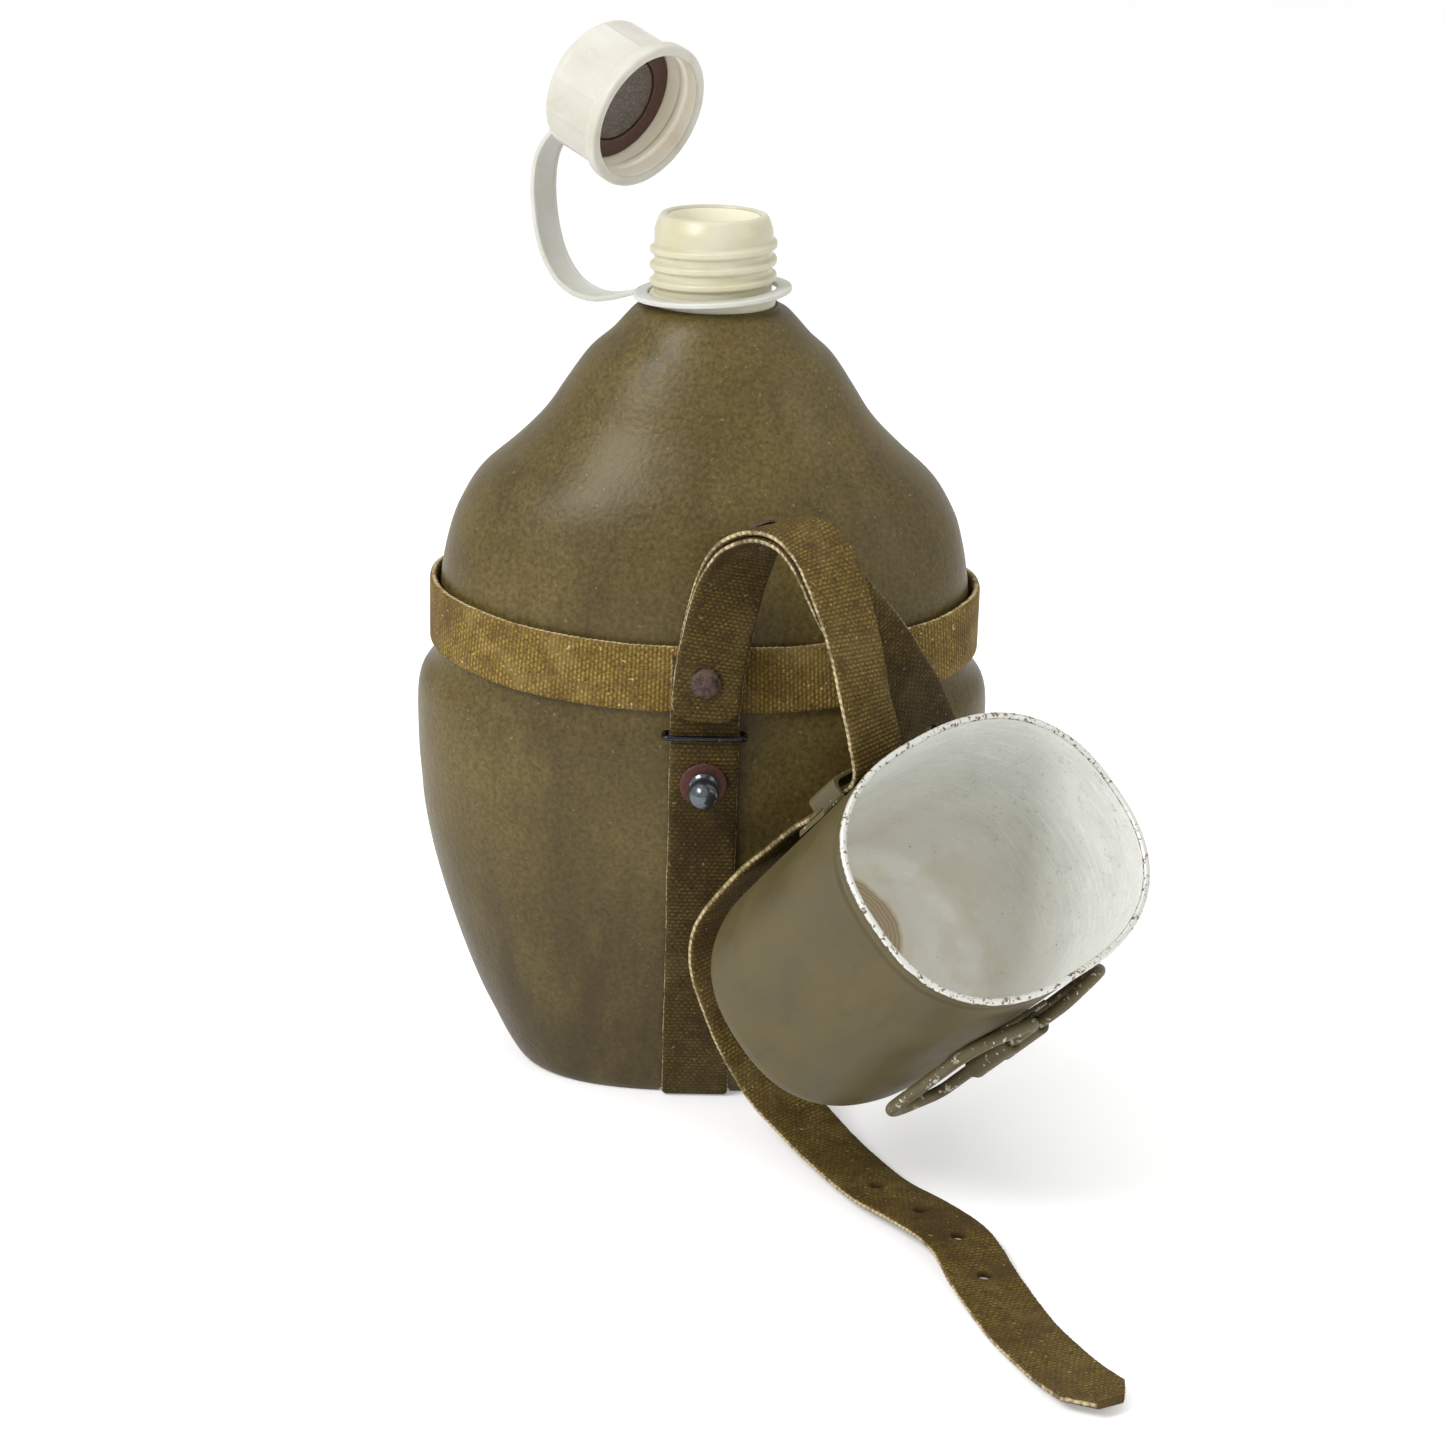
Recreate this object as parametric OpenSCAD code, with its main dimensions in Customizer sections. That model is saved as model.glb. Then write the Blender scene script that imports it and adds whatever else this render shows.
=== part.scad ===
// Army canteen: plastic bottle in an insulating cover, webbing harness, oval cup and tethered cap.
// Millimetres, +Z up, origin at the centre of the base, the harness front facing -Y.

/* [Bottle and cover] */
// Widest half-width of the cover
body_half_w = 75.6; // [70:0.2:80]
// Deepest half-depth of the cover
body_half_d = 46; // [42:0.5:50]
// Thickness of the insulating cover
cover_t = 3; // [2:0.5:4]
// Wall of the plastic bottle
bottle_t = 1.6; // [1.2:0.1:2.4]
// How far the waist groove dips at the front and back
waist_dip = 6; // [0:0.5:8]

/* [Neck] */
// Height of the mouth above the base
mouth_z = 230; // [225:1:235]
// Radius of the mouth bore
mouth_r = 11.8; // [11:0.1:12]
// Radius of the neck between the thread crests
neck_r = 15.2; // [15:0.1:15.4]
// Radius of the thread crests
thread_r = 16.3; // [16:0.1:16.4]
// Distance between thread crests
thread_pitch = 4.1; // [3.5:0.1:4.5]

/* [Cap and tether] */
// Length of the cap
cap_h = 21; // [19:0.5:23]
// Outer radius of the cap
cap_r = 17.9; // [17.6:0.1:18.4]
// Radius of the flange at the cap's open end
cap_flange_r = 19.4; // [19:0.1:20.5]
// Inner radius of the cap
cap_bore_r = 16.6; // [16.5:0.1:16.8]
// Width of the tether band
tether_w = 10; // [8:0.5:12]
// Thickness of the tether
tether_t = 1.4; // [1:0.1:1.8]

/* [Webbing] */
// Width of the harness webbing
strap_w = 17.5; // [16:0.5:20]
// Thickness of the harness webbing
strap_t = 2; // [1.6:0.1:2.2]

/* [Cup] */
// Half-length of the cup's oval
cup_a = 44; // [40:0.5:46]
// Half-width of the cup's oval
cup_b = 33.5; // [31:0.5:35]
// Depth of the cup
cup_h = 74; // [66:1:78]
// Thickness of the cup's sheet
cup_t = 1.2; // [0.8:0.1:1.6]
// Diameter of the handle wire
wire_d = 3.2; // [2.6:0.1:3.4]

/* [Hidden] */
$fn = 48;

sides = 44;          // points round each lofted section
play = 0.3;          // clearance between neighbouring soft parts
beyond = 60;         // farther out than any part of the body, for cuts right through it

// ---------- curves and lofts ----------

function unit(v) = v / norm(v);

// Catmull-Rom point between p1 and p2
function cr(p0, p1, p2, p3, t) =
    0.5 * (2 * p1 + (p2 - p0) * t + (2 * p0 - 5 * p1 + 4 * p2 - p3) * t * t
           + (3 * p1 - p0 - 3 * p2 + p3) * t * t * t);

// A smooth list through the points p, with n steps from each point to the next
function smooth(p, n) =
    [for (i = [0:len(p) - 2]) for (k = [0:n - 1])
        cr(p[max(i - 1, 0)], p[i], p[i + 1], p[min(i + 2, len(p) - 1)], k / n),
     p[len(p) - 1]];

function spow(v, e) = sign(v) * pow(abs(v), e);

// One superellipse section: row = [z, half-width, half-depth, exponent]
function section(row, dip = 0) =
    [for (k = [0:sides - 1]) let (u = 360 * k / sides)
        [row[1] * spow(cos(u), 2 / row[3]), row[2] * spow(sin(u), 2 / row[3]),
         row[0] - dip * pow(sin(u), 2)]];

// Closed solid through equal rings of points
module skin(rings) {
    n = len(rings[0]);
    m = len(rings);
    pts = concat([for (r = rings) each r], [mean(rings[0]), mean(rings[m - 1])]);
    walls = [for (i = [0:m - 2]) for (k = [0:n - 1]) let (j = (k + 1) % n)
        each [[i * n + k, (i + 1) * n + k, (i + 1) * n + j], [i * n + k, (i + 1) * n + j, i * n + j]]];
    floor_fan = [for (k = [0:n - 1]) [m * n, k, (k + 1) % n]];
    top_fan = [for (k = [0:n - 1]) [m * n + 1, (m - 1) * n + (k + 1) % n, (m - 1) * n + k]];
    polyhedron(pts, concat(walls, floor_fan, top_fan));
}

function mean(p, i = 0) = i == len(p) - 1 ? p[i] / len(p) : p[i] / len(p) + mean(p, i + 1);

// Puts a child's +Z along direction d, with its origin at p
module along(p, d) {
    u = unit(d);
    translate(p) rotate([0, acos(u[2]), atan2(u[1], u[0])]) children();
}

// ---------- the body ----------

// Cover sections from base to neck: [height, half-width, half-depth, exponent]
cover_rows = [
    [0, 46, 32.3, 2.6], [2.5, 49.3, 34.3, 2.5], [12, 54.8, 37.2, 2.4], [25, 60.8, 40, 2.35],
    [40, 66.2, 42.4, 2.3], [55, 70.5, 44.2, 2.3], [70, 73.6, 45.3, 2.3], [85, 75.2, 45.9, 2.3],
    [98, body_half_w, body_half_d, 2.3], [107, 74.9, 45.8, 2.3], [113, 71.4, 44.8, 2.3],
    [119, 70.1, 44.2, 2.3], [128, 69.7, 43.9, 2.3], [136, 69.1, 43.5, 2.3], [145, 67.4, 42.4, 2.3],
    [153, 64.7, 40.8, 2.25], [162, 59, 38, 2.2], [170, 50.2, 34.4, 2.15], [178, 42.6, 31, 2.1],
    [186, 37.2, 28.4, 2.1], [194, 31.6, 25.6, 2.05], [199, 26, 23.4, 2], [203, 22.4, 21.6, 2],
    [205.6, 19.8, 19.6, 2], [206.6, 17.4, 17.4, 2]];

function dip_at(z) = waist_dip * max(0, 1 - pow((z - 122) / 34, 2));

function inset(row, d) =
    [row[0] + d * max(0, 1 - row[0] / 12), max(neck_r, row[1] - d), max(neck_r, row[2] - d), row[3]];

module body_loft(d, steps) {
    rows = smooth([for (r = cover_rows) inset(r, d)], steps);
    skin([for (r = rows) section(r, dip_at(r[0]))]);
}

// Half-depth of the cover at height z on its front line
function front_depth(z) =
    lookup(z, [for (r = smooth(cover_rows, 2)) [r[0] - dip_at(r[0]), r[2]]]);

cover_top = 206.6;
opening_r = 16.4;
groove_w = strap_w + 1;          // groove in the base for the strap
groove_h = 2.7;

module cover() {
    color("#6b6547") difference() {
        body_loft(0, 2);
        body_loft(cover_t, 1);
        translate([0, 0, cover_top - 10]) cylinder(h = 20, r = opening_r);
        translate([-groove_w / 2, -beyond, -1]) cube([groove_w, 2 * beyond, groove_h + 1]);
    }
}

thread_low = 212.4;
thread_turns = 3;
lip_r = 13.4;

module neck_outline() {
    polygon(concat(
        [[mouth_r - 2, 198], [neck_r + 0.5, 198], [neck_r + 0.5, 209.4], [neck_r, 210]],
        [for (i = [0:thread_turns - 1]) let (z = thread_low + i * thread_pitch)
            each [[neck_r, z - 1.5], [thread_r, z - 0.4], [thread_r, z + 0.4], [neck_r, z + 1.5]]],
        [[14.9, 226], [14.5, 228.2], [lip_r + 0.4, 229.6], [lip_r, mouth_z], [mouth_r - 2, mouth_z]]));
}

module bottle() {
    color("#e6e2bd") difference() {
        union() {
            body_loft(cover_t + play, 1);
            rotate_extrude() neck_outline();
        }
        difference() {
            body_loft(cover_t + play + bottle_t, 1);
            translate([0, 0, 202]) cylinder(h = 10, r = 30);
        }
        translate([0, 0, 196]) cylinder(h = mouth_z - 190, r = mouth_r);
    }
}

// ---------- webbing ----------

// Section frames along a route of [point, side direction]: [point, side, face normal]
function frames(route, n) =
    let (p = smooth([for (s = route) s[0]], n), q = smooth([for (s = route) s[1]], n), m = len(p))
    [for (i = [0:m - 1])
        let (t = unit(p[min(i + 1, m - 1)] - p[max(i - 1, 0)]),
             s = unit(q[i] - (q[i] * t) * t))
        [p[i], s, unit(cross(t, s)), t]];

// Part of a list
function span(v, a, b) = [for (i = [a:b]) v[i]];

// Frames from index a to b, with both ends pulled back by trim
function piece(f, a, b, trim_a = 0, trim_b = 0) =
    [for (i = [a:b]) let (pull = i == a ? trim_a : i == b ? -trim_b : 0)
        [f[i][0] + pull * f[i][3], f[i][1], f[i][2]]];

// Flat band of width w and thickness t, its middle raised by lift along the face normal
module band(f, w, t, lift = 0) {
    skin([for (s = f)
        [s[0] + s[1] * w / 2 + s[2] * (lift + t / 2), s[0] - s[1] * w / 2 + s[2] * (lift + t / 2),
         s[0] - s[1] * w / 2 + s[2] * (lift - t / 2), s[0] + s[1] * w / 2 + s[2] * (lift - t / 2)]]);
}

webbing = "#7a6b35";
band_z = 125.7;      // mid-height of the waist band at the sides
band_a = 72.4;       // outer half-width and half-depth of the waist band
band_b = 46.6;
rivet_z = 122;
rivet_hole_r = 1.6;

module bore_y(z, r) {
    translate([0, beyond, z]) rotate([90, 0, 0]) cylinder(h = 2 * beyond, r = r);
}

module band_wall(grow, over) {
    skin([for (z = [band_z - strap_w / 2 - over, band_z + strap_w / 2 + over])
        section([z, band_a - grow, band_b - grow, 2.3], waist_dip)]);
}

module waist_band() {
    color(webbing) difference() {
        band_wall(0, 0);
        band_wall(strap_t, 1);
        bore_y(rivet_z, rivet_hole_r);
    }
}

// Vertical strap: down the front from the band, under the base and up the back
side_x = [1, 0, 0];
upright_y = 49.1;    // where the strap stands off the cover to let the keeper pass
half_route = concat(
    [for (z = [126, 115.8]) [0, -48, z]],
    [for (z = [110.8, 106, 98]) [0, -upright_y, z]],
    [for (z = [88, 76, 62, 48, 34, 20, 10]) [0, -front_depth(z) - strap_t / 2 - play, z]],
    [[0, -36.3, 4.5], [0, -35.6, 2.7], [0, -35, 1.5], [0, -33.8, 1.05]],
    [[0, -30, 1], [0, -15, 1], [0, 0, 1]]);
vertical_route = concat(
    [for (p = half_route) [p, side_x]],
    [for (i = [len(half_route) - 2:-1:0]) let (p = half_route[i]) [[0, -p[1], p[2]], side_x]]);

stud_z = 93.3;
stud_hole_r = 2;     // the stud's tail slants through this hole

module vertical_strap() {
    color(webbing) difference() {
        band(frames(vertical_route, 2), strap_w, strap_t);
        bore_y(rivet_z, rivet_hole_r);
        bore_y(stud_z, stud_hole_r);
        translate([-beyond, -beyond, -5]) cube([2 * beyond, 2 * beyond, 5]);
    }
}

// The cup's place: its bottom's centre and its turn, leaning forward and to the right on its strap
cup_base = [37, -69, 49];
cup_turn = [46, -8.5, 45];

function turn_x(v, a) = [v[0], v[1] * cos(a) - v[2] * sin(a), v[1] * sin(a) + v[2] * cos(a)];
function turn_y(v, a) = [v[0] * cos(a) + v[2] * sin(a), v[1], v[2] * cos(a) - v[0] * sin(a)];
function turn_z(v, a) = [v[0] * cos(a) - v[1] * sin(a), v[0] * sin(a) + v[1] * cos(a), v[2]];
function cup_dir(v) = turn_z(turn_y(turn_x(v, cup_turn[0]), cup_turn[1]), cup_turn[2]);
function cup_at(v) = cup_base + cup_dir(v);
module in_cup() { translate(cup_base) rotate(cup_turn) children(); }

bridge_z = 45;                   // height of the bridge's middle above the cup's bottom
strap_off = 34.8;                // distance of the strap's middle from the cup's long axis
cup_side = cup_dir([1, 0, 0]);

// Cup strap: from the front rivet over the arch, under the cup's bridge, round the cup's foot
// and along the ground to its tip: [point, side direction]
cup_route = [
    [[0, -51.5, 111.5], [1, 0, 0]], [[0.5, -51.4, 120], [1, 0, 0]], [[1.6, -51.6, 129], [1, 0, 0]],
    [[3.6, -53, 141], [1, 0.08, 0.03]], [[5.6, -55, 150], [0.96, 0.25, 0]],
    [[9, -58, 158.6], [0.88, 0.45, 0]], [[15, -62.4, 164.4], [0.78, 0.62, 0.03]],
    [[21, -67, 165.2], [0.75, 0.65, 0.05]], [[26.4, -71, 161.4], [0.77, 0.62, 0.08]],
    [[30.2, -75, 154.6], [0.78, 0.61, 0.05]], [[33.4, -78.6, 146], [0.76, 0.64, -0.05]],
    [[35.8, -82, 137], [0.74, 0.66, -0.12]], [[37.8, -84.6, 128], [0.7, 0.7, -0.08]],
    [[39.8, -86.2, 120.4], [0.7, 0.7, 0]],
    [cup_at([0, strap_off, bridge_z + 10]), cup_side], [cup_at([0, strap_off, bridge_z]), cup_side],
    [cup_at([0, strap_off, bridge_z - 10]), cup_side],
    [cup_at([0, strap_off + 1.2, bridge_z - 19]), cup_side], [[21, -62.4, 83.4], [0.7, 0.69, 0.15]],
    [[14.6, -59, 75.6], [0.7, 0.68, 0.14]], [[8.6, -56, 66.4], [0.72, 0.68, 0.12]],
    [[4.9, -54.4, 58.6], [0.74, 0.66, 0.1]], [[4, -53.6, 51], [0.76, 0.64, 0.08]],
    [[5.6, -53.2, 42.4], [0.78, 0.62, 0.06]], [[10.4, -53.4, 30], [0.82, 0.57, 0.04]],
    [[15.9, -55.4, 20], [0.86, 0.5, 0.02]], [[21.8, -59.6, 12.4], [0.9, 0.43, 0]],
    [[28, -66.4, 7.6], [0.92, 0.39, 0]], [[35, -77, 4.6], [0.92, 0.39, 0]],
    [[45, -95, 3.4], [0.88, 0.46, 0]], [[55, -109, 4], [0.8, 0.6, 0]],
    [[63, -123, 4.4], [0.86, 0.5, 0]], [[68, -139, 2.4], [0.92, 0.38, 0]],
    [[74, -160, 1.4], [0.92, 0.4, 0]], [[82, -181, 2.4], [0.88, 0.46, 0]],
    [[90.5, -198, 4], [0.88, 0.46, 0]]];
route_steps = 3;
cup_frames = frames(cup_route, route_steps);
swing_i = 7 * route_steps;       // the swing hinge, at the arch's top
lift_i = 27 * route_steps;       // the tail's hinge, where the strap meets the ground
last_i = len(cup_frames) - 1;
swing_gap = 0.25;
lift_gap = 0.8;

arch_i = 17;                     // the arch rivet holds both layers together, at this frame
arch_frame = cup_frames[arch_i];
layer = strap_t + play;          // spacing of the two strap layers
inner = -1;                      // the belt strap lies on the back of the cup strap's face normal

arch_hole_r = 1.9;
module rivet_hole_at(f) {
    along(f[0] - f[2] * 5, f[2]) cylinder(h = 10, r = arch_hole_r);
}

module cup_strap_upper() {
    color(webbing) difference() {
        band(piece(cup_frames, 0, swing_i, 0, swing_gap), strap_w, strap_t);
        bore_y(rivet_z, rivet_hole_r);
        rivet_hole_at(arch_frame);
    }
}

module cup_strap_middle() {
    color(webbing) band(piece(cup_frames, swing_i, lift_i, swing_gap, lift_gap), strap_w, strap_t);
}

tail_hole_r = 2;
tail_holes = 4;
tip_to_hole = 9;                 // frames from the tip to the first hole, then from hole to hole
hole_to_hole = 3;
chamfer = 7;

module cup_strap_tail() {
    tip = cup_frames[last_i];
    color(webbing) difference() {
        band(piece(cup_frames, lift_i, last_i, lift_gap, 0), strap_w, strap_t);
        for (k = [0:tail_holes - 1]) {
            h = cup_frames[last_i - tip_to_hole - hole_to_hole * k];
            along(h[0] - h[2] * 3, h[2]) cylinder(h = 6, r = tail_hole_r);
        }
        for (s = [-1, 1])
            translate(tip[0] + s * tip[1] * strap_w / 2)
                rotate([0, 0, 45 + atan2(tip[1][1], tip[1][0])])
                    cube([chamfer, chamfer, 2 * chamfer], center = true);
    }
}

// Belt strap: under the cup strap as far as the arch, then down behind the cup
belt_i = 8 * route_steps;
belt_start = cup_frames[belt_i];
belt_route = [
    [belt_start[0] + inner * layer * belt_start[2], belt_start[1]],
    [[29.2, -71.4, 154], [0.8, 0.58, 0.1]], [[34, -70.6, 146.4], [0.86, 0.46, 0.18]],
    [[42, -64.6, 135], [0.87, 0.4, 0.27]],
    [[48, -59.5, 125.4], [0.82, 0.5, 0.27]], [[52.6, -54, 117], [0.78, 0.57, 0.25]],
    [[56.4, -48.8, 108.6], [0.78, 0.6, 0.17]], [[59.6, -44.6, 100], [0.78, 0.62, 0.1]]];
belt_frames = frames(belt_route, route_steps);
flap_gap = 0.6;
flap_hole_r = 2;

module belt_strap_fixed() {
    color(webbing) difference() {
        band(piece(cup_frames, 0, belt_i, 0, flap_gap), strap_w, strap_t, layer * inner);
        bore_y(rivet_z, rivet_hole_r);
        rivet_hole_at(arch_frame);
    }
}

module belt_strap_flap() {
    h = belt_frames[len(belt_frames) - 4];
    color(webbing) difference() {
        band(piece(belt_frames, 0, len(belt_frames) - 1, flap_gap, 0), strap_w, strap_t);
        along(h[0] - h[2] * 3, h[2]) cylinder(h = 6, r = flap_hole_r);
    }
}

// ---------- rivets, studs and keepers ----------

head_r = 3.9;
shaft_r = 1.5;

// Domed rivet head on the plane z = 0, its shaft running down by depth
module rivet(depth, r = head_r, h = 1.8, shaft = shaft_r) {
    ball = (r * r + h * h) / (2 * h);
    intersection() {
        translate([0, 0, h - ball]) sphere(ball);
        cylinder(h = h, r = r);
    }
    translate([0, 0, -depth]) cylinder(h = depth + 0.2, r = shaft);
}

tongue_face_y = -cup_route[0][0][1] + layer + strap_t / 2;    // front face of the tongue

module front_rivet() {
    color("#3f3434") translate([0, -tongue_face_y - 0.15, rivet_z])
        rotate([90, 0, 0]) rivet(9.6);
}

module back_rivet() {
    color("#3f3434") translate([0, 49.15, rivet_z])
        rotate([-90, 0, 0]) rivet(4.2);
}

head_gap = 0.15;     // the arch curves away under the rivet's flat seats
module arch_rivet() {
    p = arch_frame[0];
    n = -inner * arch_frame[2];
    color("#2c2a29") {
        along(p + n * (strap_t / 2 + head_gap), n) rivet(layer + strap_t + 2 * head_gap, 3.4, 1.4);
        along(p - n * (layer + strap_t / 2 + head_gap), -n) rivet(0.1, 2.6, 1);
    }
}

ball_r = 4;
collar_r = 3.2;
washer_r = 6;
washer_t = 0.8;
stud_tilt = 6;       // the ball droops a little

// Ball stud standing along +Z on the washer's face, its tail riveted behind the strap
module stud() {
    rotate_extrude() polygon([[0, 0], [collar_r + 0.5, 0], [collar_r + 0.5, 0.9],
        [collar_r - 0.3, 1.3], [collar_r - 0.3, 2.2], [collar_r, 2.6], [collar_r, 3.4], [0, 3.4]]);
    translate([0, 0, 5.2]) sphere(ball_r);
    translate([0, 0, -washer_t - strap_t - 0.9]) cylinder(h = 4, r = shaft_r);
}

function stud_face() = upright_y + strap_t / 2 - 0.5;

module stud_at(s) {
    translate([0, s * (stud_face() + washer_t + 0.3), stud_z])
        rotate([s > 0 ? -90 - stud_tilt : 90 + stud_tilt, 0, 0]) children();
}

module front_stud() { color("#33383c") stud_at(-1) stud(); }
module back_stud() { color("#33383c") stud_at(1) stud(); }

module washer_shape() {
    translate([0, 0, -washer_t]) difference() {
        cylinder(h = washer_t, r = washer_r);
        translate([0, 0, -1]) cylinder(h = 3, r = rivet_hole_r);
    }
}
module front_stud_washer() { color("#5b2a22") stud_at(-1) washer_shape(); }
module back_stud_washer() { color("#5b2a22") stud_at(1) washer_shape(); }

keeper_d = 1.5;
keeper_z = 106;
keeper_half_w = strap_w / 2 + 1.5;
keeper_play = 0.4;
keeper_back_y = upright_y - strap_t / 2 - keeper_d / 2 - keeper_play;
keeper_front_y = upright_y + strap_t / 2 + keeper_d / 2 + keeper_play;

// Rectangular wire loop round the vertical strap, on the side s = -1 (front) or 1 (back)
module keeper(s) {
    for (y = [keeper_back_y, keeper_front_y])
        translate([-keeper_half_w, s * y, keeper_z]) rotate([0, 90, 0])
            cylinder(h = 2 * keeper_half_w, d = keeper_d);
    for (x = [-keeper_half_w, keeper_half_w]) {
        translate([x, s * keeper_back_y, keeper_z]) rotate([s > 0 ? -90 : 90, 0, 0])
            cylinder(h = keeper_front_y - keeper_back_y, d = keeper_d);
        for (y = [keeper_back_y, keeper_front_y]) translate([x, s * y, keeper_z]) sphere(d = keeper_d);
    }
}
module front_keeper() { color("#1d1d1f") keeper(-1); }
module back_keeper() { color("#1d1d1f") keeper(1); }

// ---------- cap and tether ----------

ring_z = 210;
ring_hole_r = 16.9;
ring_r = 20.4;
ring_tilt = 4;       // the ring rides up on the right
tether_az = 145;     // direction in which the band leaves the neck
flex_out = 29;       // distance of the flex line from the neck's axis

// Band route in the tether's own upright plane: [distance from the neck, height]
band_route = [[18, 208.8], [24, 206.6], [29, 205], [35, 203.9], [41, 204.6], [46.5, 207.6],
              [51, 213.6], [53.7, 222], [54.6, 231.4], [53.4, 239], [50, 244.6], [45.8, 248.2],
              [42.2, 251.8], [39.9, 256.4]];
out_dir = [cos(tether_az), sin(tether_az), 0];
across = [-sin(tether_az), cos(tether_az), 0];
function tether_point(p) = out_dir * p[0] + [0, 0, p[1]];
tether_frames = frames([for (p = band_route) [tether_point(p), across]], 3);
flex_i = 6;

cap_axis = unit([0.69, -0.65, -0.32]);       // towards the cap's open end
crown_point = [-31.4, 20.6, 259.4];
tab_lift = 0.25;

module tilt_ring() {
    translate([0, 0, ring_z]) rotate([0, -ring_tilt, 0]) children();
}

module tether_ring() {
    color("#dfe0d3") difference() {
        union() {
            tilt_ring() translate([0, 0, -tether_t / 2]) cylinder(h = tether_t, r = ring_r);
            band(piece(tether_frames, 0, flex_i, 0, 0.25), tether_w, tether_t);
        }
        tilt_ring() translate([0, 0, -6]) cylinder(h = 12, r = ring_hole_r);
    }
}

knob_r = 2.4;
tab_r = 5.6;
tab_t = 1.4;

module on_crown() { along(crown_point, -cap_axis) children(); }

module tether_band() {
    last = len(tether_frames) - 1;
    color("#dfe0d3") difference() {
        union() {
            band(piece(tether_frames, flex_i, last, 0.25, 0), tether_w, tether_t);
            on_crown() translate([0, 0, tab_lift]) cylinder(h = tab_t, r = tab_r);
        }
        on_crown() translate([0, 0, -4 + tab_lift]) cylinder(h = 4, r = 24);
        on_crown() translate([0, 0, -1]) cylinder(h = 12, r = knob_r + 0.08);
        on_crown() translate([0, 0, tab_lift + tab_t]) cylinder(h = 12, r = 4.2);
    }
}

cap_wall_top = 8.5;  // the seat of the gasket inside the cap
panels = 12;

// The cap in its own frame: crown at z = 0 facing -Z, open end at z = cap_h
module cap_shape() {
    difference() {
        rotate_extrude() polygon([[0, 0], [cap_r - 2, 0], [cap_r - 0.6, 0.6], [cap_r, 2],
            [cap_r, cap_h - 4], [cap_flange_r, cap_h - 3.4], [cap_flange_r, cap_h - 0.6],
            [cap_flange_r - 0.6, cap_h], [0, cap_h]]);
        translate([0, 0, cap_wall_top]) cylinder(h = cap_h, r = cap_bore_r);
    }
    translate([0, 0, cap_h - 5]) rotate_extrude()
        polygon([[cap_bore_r + 0.2, -1.2], [cap_bore_r - 0.5, -0.3], [cap_bore_r - 0.5, 0.3],
                 [cap_bore_r + 0.2, 1.2]]);
    translate([0, 0, -tab_t - 2 * tab_lift - 0.1]) cylinder(h = 3, r = knob_r);
    translate([0, 0, -tab_t - 2 * tab_lift - 1.2]) cylinder(h = 1.2, r = 3.6);
}

module in_cap() { along(crown_point, cap_axis) children(); }

module cap() { color("#e2e2d2") in_cap() cap_shape(); }

gasket_t = 1.8;
liner_r = 11.4;

module cap_gasket() {
    color("#3a211b") in_cap() translate([0, 0, cap_wall_top + 0.02]) difference() {
        cylinder(h = gasket_t, r = cap_bore_r - 0.3);
        translate([0, 0, -1]) cylinder(h = gasket_t + 2, r = liner_r + 0.1);
    }
}
module cap_liner() {
    color("#57504a") in_cap() translate([0, 0, cap_wall_top + 0.02]) cylinder(h = 1.3, r = liner_r);
}

// ---------- cup ----------

cup_exp = 2.45;
rim_out = 0.5;                   // how far the rolled rim stands out

// Cup sections: [height, inset from the oval]
cup_rows = [[0, 8], [0.7, 5], [2.2, 2.9], [4.8, 1.8], [10, 1.4], [40, 0.6], [cup_h - 2.4, 0],
            [cup_h - 1.8, -rim_out], [cup_h - 0.5, -rim_out], [cup_h, -0.1]];
hollow_rows = [[cup_t, 8.6], [cup_t + 0.9, 6], [cup_t + 2.6, 3.9], [cup_t + 5, 2.9],
               [12, 2.6], [40, 1.8], [cup_h + 1, cup_t]];

function cup_section(r) = section([r[0], cup_a - r[1], cup_b - r[1], cup_exp]);

// Distance of the cup's wall from its long axis at x and height z
function wall_inset(z) = lookup(z, cup_rows);
function wall_y(x, z) =
    let (d = wall_inset(z)) (cup_b - d) * pow(1 - pow(abs(x) / (cup_a - d), cup_exp), 1 / cup_exp);
function wall_slope(x, z) = (wall_y(x + 0.1, z) - wall_y(x - 0.1, z)) / 0.2;

// Puts a child's +Z along the wall's outward normal at x and z, on the side s = -1 or 1
module on_wall(x, z, s) {
    translate([x, s * wall_y(x, z), z]) rotate([0, 0, s * atan(wall_slope(x, z))])
        rotate([-s * 90, 0, 0]) children();
}

small_bore_r = 1.1;              // holes for the small rivets
small_shaft_r = 1;
module wall_bores(at_x, z, s) {
    for (x = [-at_x, at_x]) on_wall(x, z, s) translate([0, 0, -5]) cylinder(h = 10, r = small_bore_r);
}

bridge_w = 12;
bridge_t = 1.2;
bridge_half = strap_w / 2 + 1;   // half-width of the strap channel
bridge_rise = 4.4;               // height of the strap channel above the wall
bridge_foot = 8.4;               // length of each foot
wall_gap = 0.15;                 // gap between the cup's wall and the feet

// Underside (t = 0) or top (t = 1) of a foot on the side s
function foot_line(t, s) =
    [for (k = [0:3]) let (x = bridge_half + bridge_t * (1 - t) + k * bridge_foot / 3)
        [s * x, wall_y(x, bridge_z + bridge_w / 2) + wall_gap + t * bridge_t]];

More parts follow.
